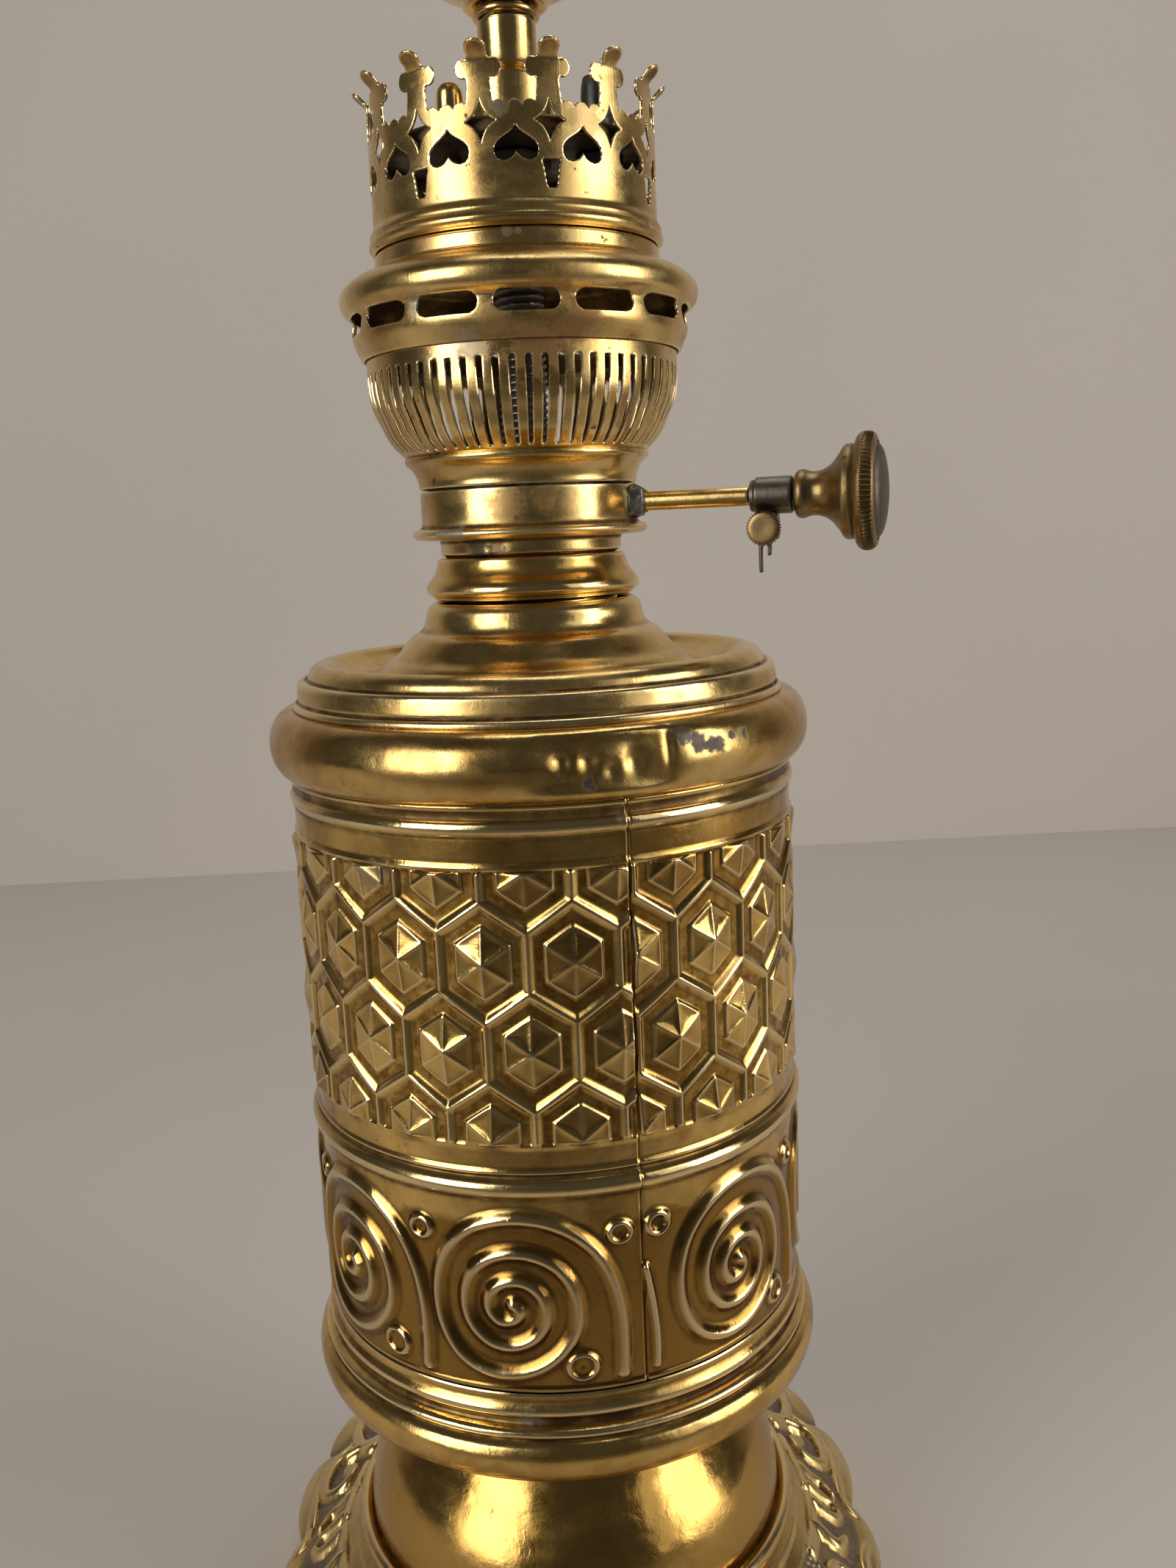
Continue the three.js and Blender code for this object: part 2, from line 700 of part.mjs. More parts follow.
function airBasket() {
  const { slits, slitWidth, slitFrom, slitTo, neckRadius, bowlRadius } = basket;
  // Shares of the way from the neck to the bowl, and of the height
  const neckShares = [[0, 0], [0.16, 0.17]];
  const bowlShares = [[0.34, 0.25], [0.84, 0.54], [1, 0.91], [1, 1]];
  const neck = [neckRadius, basketBase];
  const bowl = [bowlRadius, basketTop];
  const inset = ([radius, level]) => [radius - burnerSheet, level];
  const inside = spread(inset(neck), inset(bowl), [neckShares[0], ...bowlShares]);
  const outline = [...spread(neck, bowl, [...neckShares, ...bowlShares]), ...inside.reverse()];
  const phase = onBurner(basket.slitPhase);
  const cutters = around(slits, phase, (angle) => {
    const slit = new THREE.BoxGeometry(slitWidth, bowlRadius, slitTo - slitFrom);
    slit.translate(0, -bowlRadius, basketBase + (slitFrom + slitTo) / 2);
    return slit.rotateZ(angle * degree);
  });
  return cut(turned(outline, slits / 2, phase * degree), ...cutters);
}

function galleryRing() {
  const { wallRadius, flangeRadius, bandRadius, guideHeight, slots, slotEndSteps } = gallery;
  const top = galleryShoulder;
  const guideRadius = crown.radius - crown.thickness - gap;
  // Shares from the wall to the flange's edge, and of the height up to the crown's seat
  const outerShares = [
    [-0.6, 0], [-0.1, 0.1], [0, 0.2], [0, 0.43], [0.7, 0.46], [1, 0.56], [0.2, 0.72], [-2.26, 0.84],
  ];
  const innerShares = [[-2.6, 0.8], [-0.1, 0.66], [0.4, 0.55], [-0.28, 0.45], [-0.28, 0.1], [-0.9, 0]];
  const from = [wallRadius, galleryBase];
  const to = [flangeRadius, top];
  const outline = [
    ...spread(from, to, outerShares),
    [bandRadius, top],
    [guideRadius, top],
    [guideRadius, top + guideHeight],
    [guideRadius - burnerSheet, top + guideHeight],
    ...spread(from, to, innerShares),
  ];
  const end = gallery.slotHeight / 2;
  const reach = gallery.slotLength / 2 - end;
  const level = galleryBase + gallery.slotCentre;
  const slot = polygon([
    ...arc([reach, level], end, end, -90, 90, slotEndSteps),
    ...arc([-reach, level], end, end, 90, 270, slotEndSteps),
  ]);
  const phase = onBurner(gallery.slotPhase);
  const depth = wallRadius - bandRadius + overrun;
  const cutters = around(slots, phase, (angle) => facing(slot, bandRadius, depth, angle));
  return cut(turned(outline, burnerFacets, phase * degree), ...cutters);
}

piece("burner_cup", burnerCup(), brass, burner);
piece("air_basket", airBasket(), brass, burner);
piece("gallery_ring", galleryRing(), brass, burner);

// Crown: a pierced ring with a scalloped edge and cross-shaped tabs

/** A heart with its point up. */
function heartShape() {
  const { halfWidth: w, height, rise } = heart;
  const base = crownBase + rise;
  const top = base + height;
  // Shares of the half width and height, from the point down one side to the dip between the lobes
  const sideShares = [[0.2, 0.72], [1, 0.66], [1, 0.3], [1, -0.1], [0.3, -0.1], [0, 0.27]];
  const places = sideShares.map(([across, up]) => [w * across, base + height * up]);
  const [shoulder, flank, side, lobe, under, dip] = places;
  const mirrored = ([x, z]) => [-x, z];
  const shape = new THREE.Shape();
  shape.moveTo(0, top);
  shape.bezierCurveTo(...mirrored(shoulder), ...mirrored(flank), ...mirrored(side));
  shape.bezierCurveTo(...mirrored(lobe), ...mirrored(under), ...dip);
  shape.bezierCurveTo(...under, ...lobe, ...side);
  shape.bezierCurveTo(...flank, ...shoulder, 0, top);
  return shape;
}

/** A four-pointed star with hollow sides. */
function starShape() {
  const { halfWidth, height, rise } = star;
  const base = crownBase + rise;
  const middle = base + height / 2;
  const hollowShare = 0.22;
  const [across, up] = [halfWidth * hollowShare, (height * hollowShare) / 2];
  const shape = new THREE.Shape();
  shape.moveTo(0, base + height);
  shape.quadraticCurveTo(-across, middle + up, -halfWidth, middle);
  shape.quadraticCurveTo(-across, middle - up, 0, base);
  shape.quadraticCurveTo(across, middle - up, halfWidth, middle);
  shape.quadraticCurveTo(across, middle + up, 0, base + height);
  return shape;
}

/** A slot that narrows downwards. */
function keyholeShape() {
  const { halfWidth: w, footHalfWidth: f, height, rise } = keyhole;
  const base = crownBase + rise;
  const half = [[f / 2, base], [f, base + f], [w, base + height]];
  return polygon([...half, ...half.map(([x, z]) => [-x, z]).reverse()]);
}

/** What is cut off the edge between two tabs, which leaves scallops. */
function scallopShape() {
  const half = (Math.PI * crown.radius) / crown.repeats - tab.stemHalfWidth;
  const steps = scallop.count * scallop.steps;
  const edge = Array.from({ length: steps + 1 }, (_, i) => {
    const share = Math.abs(Math.cos((Math.PI * i) / scallop.steps));
    return [half * ((2 * i) / steps - 1), crownTop - scallop.depth * share];
  });
  return polygon([[half, crownTop + overrun], [-half, crownTop + overrun], ...edge]);
}

/** A cross-shaped tab of sheet, from its root in the wall to its rounded tip, which leans outwards. */
function tabSheet(thickness) {
  const { stemHalfWidth, armHalfWidth, armRise, armRadius, tipRadius, tipLength, armSteps, tipSteps } = tab;
  const reach = armHalfWidth - armRadius;
  const shape = polygon([
    [-stemHalfWidth, -tab.rootDepth],
    [stemHalfWidth, -tab.rootDepth],
    [stemHalfWidth, armRise - armRadius],
    ...arc([reach, armRise], armRadius, armRadius, -90, 90, armSteps),
    [tipRadius, tab.height],
    ...arc([0, tab.height + tipLength - tipRadius], tipRadius, tipRadius, 0, 180, tipSteps),
    [-tipRadius, tab.height],
    ...arc([-reach, armRise], armRadius, armRadius, 90, 270, armSteps),
    [-stemHalfWidth, armRise - armRadius],
  ]);
  const sheet = new THREE.ExtrudeGeometry(shape, { depth: thickness, bevelEnabled: false });
  const places = sheet.getAttribute("position");
  const lean = tab.tipLean * degree;
  for (let i = 0; i < places.count; i += 1) {
    const above = Math.max(places.getY(i) - tab.height, 0);
    places.setY(i, places.getY(i) - above * (1 - Math.cos(lean)));
    places.setZ(i, places.getZ(i) + above * Math.sin(lean));
  }
  return sheet;
}

function crownPiece() {
  const { radius, thickness, beadRise, beadHeight, repeats, tabPhase } = crown;
  const bore = radius - thickness;
  // Shares of the bead's rise and height: a lip and two beads
  const beadShares = [[0.1, 0], [1, 0.36], [0.5, 0.56], [0.9, 0.78], [0, 1]];
  const outline = [
    ...spread([radius, crownBase], [radius + beadRise, crownBase + beadHeight], beadShares),
    [radius, crownTop],
    [bore, crownTop],
    [bore, crownBase],
  ];
  const halfFacet = 90 / repeats;
  const depth = thickness + 2 * overrun;
  const from = bore - overrun;
  const pierce = (shape, steps) => (angle) => facing(shape, from, depth, angle, steps);
  const hearts = around(repeats, crown.heartPhase, pierce(heartShape(), heart.steps));
  const stars = around(repeats, tabPhase, pierce(starShape(), star.steps));
  const keyholes = around(repeats / keyhole.every, tabPhase, pierce(keyholeShape(), 1));
  const scallops = around(repeats, crown.heartPhase, pierce(scallopShape(), 1));
  const wall = turned(outline, 2 * repeats, (tabPhase - halfFacet) * degree);
  const tabThickness = thickness * tab.thicknessShare;
  const tabRadius = radius * Math.cos(halfFacet * degree) - (thickness + tabThickness) / 2;
  const tabs = around(repeats, tabPhase, (angle) => {
    const sheet = tabSheet(tabThickness).rotateX(quarter);
    return sheet.translate(0, -tabRadius, crownTop).rotateZ(angle * degree);
  });
  return join(cut(wall, ...hearts, ...stars, ...keyholes, ...scallops), ...tabs);
}

piece("crown", crownPiece(), brass);

// Wick raiser, along +X of the burner

const raiser = new THREE.Group();
raiser.position.z = spindleLevel;
burner.add(raiser);

/** A turned piece whose axis lies along +X. */
const lengthwise = (outline, facets) => turned(outline, facets).rotateY(quarter);

const sleeveEnd = sleeve.start + sleeve.length;
const knobStart = sleeveEnd + gap;
const knobEnd = knobStart + knob.length;
const tubeBore = spindle.radius + gap;
const tubeEnd = sleeve.start - gap;
const spindleEnd = knobEnd - knob.faceDepth - 2 * gap - bodySheet;
const screwX = sleeve.start + sleeve.collarLength + lug.halfWidth;
const screwZ = lug.halfWidth - lug.drop;
const headBack = -lug.halfDepth - 2 * pin.wireRadius - 2 * gap;

const tubeStart = cup.bandRadius - 2 * burnerSheet;
const tube = ring(tubeBore, spindle.tubeRadius, tubeStart, tubeEnd, smallFacets);
piece("spindle_tube", tube.rotateY(quarter), brass, raiser);

function tubeBoss() {
  const { start, end, halfWidth, halfHeight, taperShare } = boss;
  const boreRadius = spindle.tubeRadius + gap;
  const wallRadius = cup.bandRadius + gap;
  const block = new THREE.CylinderGeometry(taperShare, 1, end - start, 4, 1, false, quarter / 2);
  block.scale(Math.SQRT2 * halfHeight, 1, Math.SQRT2 * halfWidth);
  block.rotateZ(-quarter).translate((start + end) / 2, 0, 0);
  const bore = new THREE.CylinderGeometry(boreRadius, boreRadius, end, smallFacets);
  bore.rotateZ(quarter).translate(end, 0, 0);
  const wall = new THREE.CylinderGeometry(wallRadius, wallRadius, end, bodyFacets);
  wall.rotateX(quarter);
  return cut(block, bore, wall);
}

function clampSleeve() {
  const { start, radius, collarRadius, collarLength } = sleeve;
  const outline = [
    [tubeBore, start],
    [collarRadius, start],
    [collarRadius, start + collarLength],
    [radius, start + collarLength],
    [radius, sleeveEnd],
    [tubeBore, sleeveEnd],
  ];
  const block = new THREE.BoxGeometry(2 * lug.halfWidth, 2 * lug.halfDepth, lug.drop - tubeBore);
  block.translate(screwX, 0, -(lug.drop + tubeBore) / 2);
  const holeRadius = clampScrew.shankRadius + gap;
  const hole = new THREE.CylinderGeometry(holeRadius, holeRadius, 4 * lug.halfDepth, smallFacets / 2);
  hole.translate(screwX, 0, screwZ);
  const throughBore = new THREE.CylinderGeometry(tubeBore, tubeBore, 2 * sleeve.length, smallFacets);
  throughBore.rotateZ(quarter).translate(screwX, 0, 0);
  return cut(join(lengthwise(outline, smallFacets), block), hole, throughBore);
}

function clampScrewPiece() {
  const { headRadius, headThickness, shankRadius, nutEnd } = clampScrew;
  const headFront = headBack - headThickness;
  const outline = [
    [0, headFront],
    [headRadius, headFront],
    [headRadius, headBack],
    [shankRadius, headBack],
    [shankRadius, nutEnd],
    [0, nutEnd],
  ];
  return turned(outline, smallFacets).rotateX(-quarter).translate(screwX, 0, screwZ);
}

/** A wire bent round the screw behind its head, with two legs that hang down. */
function splitPin() {
  const { wireRadius, eyeRadius, longLeg, shortLeg, spread: apart, eyeSteps } = pin;
  const y = -lug.halfDepth - gap - wireRadius;
  const open = Math.asin(apart / eyeRadius);
  const points = [new THREE.Vector3(screwX - apart, y, screwZ - longLeg)];
  for (let i = 0; i <= eyeSteps; i += 1) {
    const angle = -quarter - open - ((2 * Math.PI - 2 * open) * i) / eyeSteps;
    const [x, z] = polar(eyeRadius, angle);
    points.push(new THREE.Vector3(screwX + x, y, screwZ + z));
  }
  points.push(new THREE.Vector3(screwX + apart, y, screwZ - shortLeg));
  const section = new THREE.Shape();
  section.absarc(0, 0, wireRadius, 0, 2 * Math.PI, false);
  const smooth = new THREE.CatmullRomCurve3(points, false, "centripetal");
  const options = { steps: 2 * points.length, extrudePath: smooth, curveSegments: 2 };
  return new THREE.ExtrudeGeometry(section, options);
}

function wickWheel() {
  const points = Array.from({ length: 2 * wheel.teeth }, (_, i) => {
    const radius = i % 2 ? spindle.wheelRadius * wheel.rootShare : spindle.wheelRadius;
    return polar(radius, (Math.PI * i) / wheel.teeth);
  });
  const shape = polygon(points);
  const hole = new THREE.Path();
  hole.absarc(0, 0, spindle.radius + gap, 0, 2 * Math.PI, true);
  shape.holes.push(hole);
  const options = { depth: wheel.thickness, bevelEnabled: false, curveSegments: boreFacets / 2 };
  const toothed = new THREE.ExtrudeGeometry(shape, options);
  return toothed.rotateY(quarter).translate(spindle.innerEnd + gap, 0, 0);
}

function knobPiece() {
  const { hubRadius, waistRadius, shoulderRadius, rimRadius, faceRadius, faceDepth } = knob;
  const bore = spindle.radius + gap;
  // Shares of the way from the knob's inner end to its outer end, with those of each rise in radius
  const hubShares = [[0.6, 0], [1, 0.03], [1, 0.14], [0, 0.24]];
  const flareShares = [[0.1, 0.36], [0.5, 0.48], [1, 0.57], [1, 0.7]];
  const rimShares = [[-0.2, 0.73], [0.6, 0.76], [1, 0.84], [0.8, 0.95], [0.3, 1]];
  const along = (from, to, shares) => spread([from, knobStart], [to, knobEnd], shares);
  const seat = knobEnd - faceDepth - gap;
  const outline = [
    [bore, knobStart],
    ...along(waistRadius, hubRadius, hubShares),
    ...along(waistRadius, shoulderRadius, flareShares),
    ...along(shoulderRadius, rimRadius, rimShares),
    [faceRadius + gap, knobEnd],
    [faceRadius + gap, seat],
    [bore, seat],
  ];
  return lengthwise(outline, plainFacets);
}

function knobFace() {
  const { faceRadius, faceDepth, faceRise } = knob;
  const back = knobEnd - faceDepth;
  const domeShares = [[1, 0.35], [0.86, 0.62], [0.5, 0.9], [0, 1]];
  const dome = spread([0, back], [faceRadius, back + faceDepth + faceRise], domeShares);
  return lengthwise([[0, back], [faceRadius, back], ...dome], plainFacets);
}

piece("tube_boss", tubeBoss(), solder, raiser);
piece("clamp_sleeve", clampSleeve(), steel, raiser);
piece("clamp_screw", clampScrewPiece(), agedBrass, raiser);
piece("split_pin", splitPin(), steel, raiser);
const spindleLength = spindleEnd - spindle.innerEnd;
const spindleRod = new THREE.CylinderGeometry(spindle.radius, spindle.radius, spindleLength, boreFacets);
spindleRod.rotateZ(quarter).translate(spindle.innerEnd + spindleLength / 2, 0, 0);
piece("wick_spindle", spindleRod, steel, raiser);
piece("wick_wheel", wickWheel(), agedBrass, raiser);
piece("knob", knobPiece(), agedBrass, raiser);
piece("knob_face", knobFace(), solder, raiser);

// Electric fitting on the axis

const pipeBase = cupFloor - pipe.below;
const pipeTop = capBase + pipe.aboveCap;
const pipeHole = pipe.radius + gap;
const nut = (bottom) => hexNut(pipeNut.flats, pipeNut.thickness, pipeHole, bottom);

function coverPlate() {
  const { radius, thickness, lip } = plate;
  const outline = [
    [pipeHole, plateBase],
    [radius - thickness, plateBase],
    [radius - thickness, plateBase - lip],
    [radius, plateBase - lip],
    [radius, plateTop],
    [pipeHole, plateTop],
  ];
  const holeAt = (holeRadius, distance, angle) => {
    const hole = new THREE.CylinderGeometry(holeRadius, holeRadius, 2 * overrun + thickness, boreFacets);
    return hole.rotateX(quarter).translate(0, -distance, plateBase).rotateZ(onBurner(angle) * degree);
  };
  const glandHole = holeAt(gland.radius - burnerSheet + gap, gland.distance, gland.angle);
  const screwHole = holeAt(plateScrew.stemRadius + gap, plateScrew.distance, plateScrew.angle);
  return cut(turned(outline, bodyFacets), glandHole, screwHole);
}

function stemSleeve() {
  const { hubRadius, hubHeight, radius } = stem;
  const flareShares = [[1, 0], [1, 0.88], [0.85, 0.94], [0.3, 0.98], [0, 1.2]];
  const flare = spread([radius, stemBase], [hubRadius, stemBase + hubHeight], flareShares);
  return turned([[pipeHole, stemBase], ...flare, [radius, stemTop], [pipeHole, stemTop]], plainFacets);
}

function stemRingPiece() {
  const ringShares = [[0, 0], [0.6, 0], [1, 0.5], [0.6, 1], [0, 1]];
  const top = stemRingBase + stemRing.height;
  return turned(spread([pipeHole, stemRingBase], [stemRing.radius, top], ringShares), plainFacets);
}

/** The cord's outlet: a threaded gland through the plate. */
function cordGland() {
  const { radius, bore, height } = gland;
  const neck = radius - burnerSheet;
  const bottom = plateBase - glandNutSize.thickness - 2 * gap;
  const top = plateTop + gap + height;
  const outline = [
    [bore, bottom],
    [neck, bottom],
    [neck, plateTop + gap],
    [radius, plateTop + gap],
    [radius, top - radius],
    [neck, top],
    [bore, top],
  ];
  const made = turned(outline, smallFacets);
  return made.translate(0, -gland.distance, 0).rotateZ(onBurner(gland.angle) * degree);
}

function glandNut() {
  const { flats, thickness } = glandNutSize;
  const made = hexNut(flats, thickness, gland.radius - burnerSheet + gap, plateBase - gap - thickness);
  return made.translate(0, -gland.distance, 0).rotateZ(onBurner(gland.angle) * degree);
}

function plateScrewPiece() {
  const { headRadius, stemRadius, height } = plateScrew;
  const top = plateTop + gap + height;
  const dome = arc([0, top - headRadius], headRadius, headRadius, 0, 90, 3).slice(0, -1);
  const bottom = plateBase - stemRadius;
  const outline = [
    [0, bottom],
    [stemRadius, bottom],
    [stemRadius, plateTop + gap],
    [headRadius, plateTop + gap],
    ...dome,
    [0, top],
  ];
  const made = turned(outline, smallFacets);
  return made.translate(0, -plateScrew.distance, 0).rotateZ(onBurner(plateScrew.angle) * degree);
}

piece("threaded_pipe", ring(pipe.bore, pipe.radius, pipeBase, pipeTop, smallFacets), steel, burner);
piece("floor_nut_lower", nut(cupFloor - gap - pipeNut.thickness), steel, burner);
piece("floor_nut_upper", nut(cupFloorTop + gap), steel, burner);
piece("plate_nut", nut(plateBase - gap - pipeNut.thickness), steel, burner);
piece("cover_plate", coverPlate(), agedBrass, burner);
piece("stem", stemSleeve(), brass, burner);
piece("stem_ring", stemRingPiece(), brass, burner);
piece("cord_gland", cordGland(), plastic, burner);
piece("gland_nut", glandNut(), plastic, burner);
piece("plate_screw", plateScrewPiece(), agedBrass, burner);

// Lamp holder

function holderCap() {
  const { neckRadius, radius, height, floorHeight } = cap;
  // Shares of the way from the neck to the rim, and of the height: cup, flare and skirt
  const outerShares = [[-0.06, 0], [0.02, 0.09], [0.38, 0.16], [0.7, 0.3], [0.94, 0.52], [1, 0.72], [1, 1]];
  const innerShares = [[1, 1], [1, 0.74], [0.64, 0.34], [0, floorHeight / height]];
  const inset = bodySheet;
  const from = [neckRadius, capBase];
  const to = [radius, capTop];
  const inner = spread([neckRadius - inset, capBase], [radius - inset, capTop], innerShares);
  const floorEdge = [pipeHole, capBase + floorHeight];
  return turned([[pipeHole, capBase], ...spread(from, to, outerShares), ...inner, floorEdge], plainFacets);
}

function holderShell() {
  const { radius, beadRise, height } = holder;
  const bore = radius - bodySheet;
  const beadShares = [[1, 0], [1, 0.03], [0, 0.05], [0, 0.94], [1, 0.96], [1, 1]];
  const outer = spread([radius, holderBase], [radius + beadRise, holderTop], beadShares);
  return turned([[bore, holderBase], ...outer, [bore, holderTop]], plainFacets);
}

function socketInsert() {
  const bore = contact.bore + gap;
  const flangeRadius = cap.radius - bodySheet - gap;
  const flangeLevel = insertTop - insert.flangeHeight;
  const outline = [
    [bore, insertBase],
    [insert.radius, insertBase],
    [insert.radius, flangeLevel],
    [flangeRadius, flangeLevel],
    [flangeRadius, insertTop],
    [bore, insertTop],
  ];
  const holeRadius = terminal.radius + gap;
  const holes = [1, -1].map((side) => {
    const hole = new THREE.CylinderGeometry(holeRadius, holeRadius, 2 * terminal.height, boreFacets);
    return hole.rotateX(quarter).translate(side * terminal.distance, 0, insertBase);
  });
  return cut(turned(outline, plainFacets), ...holes);
}

function threadSleeve() {
  const { innerRadius, depth } = bulbThread;
  const outer = innerRadius + bodySheet / 2;
  const base = insertTop + gap;
  const floorHole = contact.radius + 2 * gap;
  const outline = [
    [floorHole, base],
    [outer, base],
    [outer, base + depth],
    [innerRadius, base + depth],
    [innerRadius, base + bodySheet / 2],
    [floorHole, base + bodySheet / 2],
  ];
  return turned(outline, plainFacets);
}

function centreContact() {
  const base = insertTop + gap;
  const { radius, height, bore } = contact;
  const outline = [
    [0, insertBase],
    [bore, insertBase],
    [bore, base],
    [radius, base],
    [radius, base + height / 2],
    [bore, base + height],
    [0, base + height],
  ];
  return turned(outline, smallFacets);
}

function rimInsulator() {
  const outer = holder.radius - bodySheet - gap;
  const inner = bulbThread.innerRadius + bodySheet / 2 + gap;
  return ring(inner, outer, holderTop - gap - rimRing.thickness, holderTop - gap, plainFacets);
}

piece("holder_cap", holderCap(), brass, burner);
piece("holder_nut", nut(capBase + cap.floorHeight + gap), steel, burner);
piece("holder_shell", holderShell(), brass, burner);
piece("socket_insert", socketInsert(), porcelain, burner);
piece("thread_sleeve", threadSleeve(), brass, burner);
piece("centre_contact", centreContact(), brass, burner);
piece("rim_insulator", rimInsulator(), porcelain, burner);
const terminalLevel = insertBase - gap + terminal.height / 2;
[["left", -1], ["right", 1]].forEach(([side, sign]) => {
  const screw = new THREE.CylinderGeometry(terminal.radius, terminal.radius, terminal.height, boreFacets);
  screw.rotateX(quarter).translate(sign * terminal.distance, 0, terminalLevel);
  piece(`terminal_screw_${side}`, screw, steel, burner);
});

export default lantern;
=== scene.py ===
"""The looks of an electrified oil lantern of embossed brass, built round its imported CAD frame."""

import math
import bpy
import numpy as np
from mathutils import Matrix, Vector


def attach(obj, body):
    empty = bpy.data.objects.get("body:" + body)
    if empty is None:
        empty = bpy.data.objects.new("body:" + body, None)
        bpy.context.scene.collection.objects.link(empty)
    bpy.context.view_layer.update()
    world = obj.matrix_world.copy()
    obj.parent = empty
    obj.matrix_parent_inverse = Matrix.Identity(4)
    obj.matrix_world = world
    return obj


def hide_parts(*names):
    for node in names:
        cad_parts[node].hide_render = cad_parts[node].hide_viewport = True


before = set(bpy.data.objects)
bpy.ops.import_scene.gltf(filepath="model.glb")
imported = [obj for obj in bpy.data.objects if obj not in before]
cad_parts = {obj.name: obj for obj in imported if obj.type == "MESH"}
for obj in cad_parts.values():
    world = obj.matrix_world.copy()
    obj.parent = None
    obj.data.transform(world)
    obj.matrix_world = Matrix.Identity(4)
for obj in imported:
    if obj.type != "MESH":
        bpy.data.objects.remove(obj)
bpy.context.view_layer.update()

MM = 0.001
DEG = math.pi / 180
TURN = 2 * math.pi

# Mesh tools


def catmull(points, step):
    """A smooth line through points."""
    p = np.array(points, float)
    if len(p) == 2:
        n = max(1, math.ceil(np.linalg.norm(p[1] - p[0]) / step))
        return p[0] + (p[1] - p[0]) * np.linspace(0, 1, n + 1)[:, None]
    ends = np.vstack([2 * p[0] - p[1], p, 2 * p[-1] - p[-2]])
    out = [p[:1]]
    for i in range(len(p) - 1):
        a, b, c, d = ends[i : i + 4]
        t1 = max(np.linalg.norm(b - a), 1e-9) ** 0.5
        t2 = t1 + max(np.linalg.norm(c - b), 1e-9) ** 0.5
        t3 = t2 + max(np.linalg.norm(d - c), 1e-9) ** 0.5
        n = max(1, math.ceil(np.linalg.norm(c - b) / step))
        t = (t1 + (t2 - t1) * np.linspace(0, 1, n + 1)[1:])[:, None]
        ab = a * (t1 - t) / t1 + b * t / t1
        bc = b * (t2 - t) / (t2 - t1) + c * (t - t1) / (t2 - t1)
        cd = c * (t3 - t) / (t3 - t2) + d * (t - t2) / (t3 - t2)
        abc = ab * (t2 - t) / t2 + bc * t / t2
        bcd = bc * (t3 - t) / (t3 - t1) + cd * (t - t1) / (t3 - t1)
        out.append(abc * (t2 - t) / (t2 - t1) + bcd * (t - t1) / (t2 - t1))
    return np.concatenate(out)


def curve(points, step=0.4):
    """A line through points of (radius, height), smooth but for the points with a third value."""
    runs, run = [], [points[0][:2]]
    for p in points[1:]:
        run.append(p[:2])
        if len(p) > 2:
            runs.append(run)
            run = [p[:2]]
    if len(run) > 1:
        runs.append(run)
    return np.concatenate([catmull(runs[0], step)] + [catmull(r, step)[1:] for r in runs[1:]])


def reach_along(line):
    """The distance along a line at each of its points."""
    return np.concatenate([[0], np.cumsum(np.linalg.norm(np.diff(line, axis=0), axis=1))])


def resample(line, step, closed=False):
    line = np.asarray(line, float)
    if closed:
        line = np.vstack([line, line[:1]])
    far = reach_along(line)
    n = max(4, math.ceil(far[-1] / step))
    at = np.linspace(0, far[-1], n + 1)
    if closed:
        at = at[:-1]
    return np.stack([np.interp(at, far, line[:, k]) for k in range(line.shape[1])], 1)


def soften(line, passes, closed=False):
    line = line.copy()
    for _ in range(passes):
        if closed:
            line = (np.roll(line, 1, 0) + 2 * line + np.roll(line, -1, 0)) / 4
        else:
            line[1:-1] = (line[:-2] + 2 * line[1:-1] + line[2:]) / 4
    return line


def sides(line, closed=False):
    """Unit normals to the right of a line's course."""
    if closed:
        t = np.roll(line, -1, 0) - np.roll(line, 1, 0)
    else:
        t = np.gradient(line, axis=0)
    t /= np.maximum(np.linalg.norm(t, axis=1, keepdims=True), 1e-12)
    return np.stack([t[:, 1], -t[:, 0]], 1)


def sheet_outline(outer, thickness, calm=4, step=0.35):
    """A closed outline of sheet metal from its outer line, which runs with the outside on its right."""
    outer = resample(outer, step)
    inner = soften(outer, calm)
    inner = inner - sides(inner) * thickness
    return soften(resample(np.vstack([outer, inner[::-1]]), step, True), 1, True)


def from_front(r, a, z):
    """Points by radius, angle from the front and height."""
    return np.stack(np.broadcast_arrays(r * np.sin(a), -r * np.cos(a), z), -1)


def around(r, a, z):
    """Points by radius, angle from +X and height."""
    return np.stack(np.broadcast_arrays(r * np.cos(a), r * np.sin(a), z), -1)


def once_round(count, whole=TURN):
    """Angles of count places round the circle."""
    return np.arange(count) * whole / count


def grid_quads(rows, cols, wrap_rows=False):
    i = np.arange(rows if wrap_rows else rows - 1)[:, None]
    j = np.arange(cols)[None, :]
    k = (j + 1) % cols
    n = (i + 1) % rows
    corners = i * cols + j, i * cols + k, n * cols + k, n * cols + j
    return np.stack(np.broadcast_arrays(*corners), -1).reshape(-1, 4)


def capped(rows, cols):
    """Faces of a closed grid with a point at each end; the two points come after the grid's."""
    j = np.arange(cols)
    k = (j + 1) % cols
    last, end = (rows - 1) * cols, rows * cols
    first_cap = np.stack([np.full(cols, end), k, j], 1)
    last_cap = np.stack([np.full(cols, end + 1), last + j, last + k], 1)
    return [grid_quads(rows, cols), first_cap, last_cap]


def hollow(line, closed):
    """How far each point of a line lies in a groove, positive, or on a ridge, negative."""
    calm = soften(line, 6, closed)
    return ((calm - line) * sides(line, closed)).sum(1)


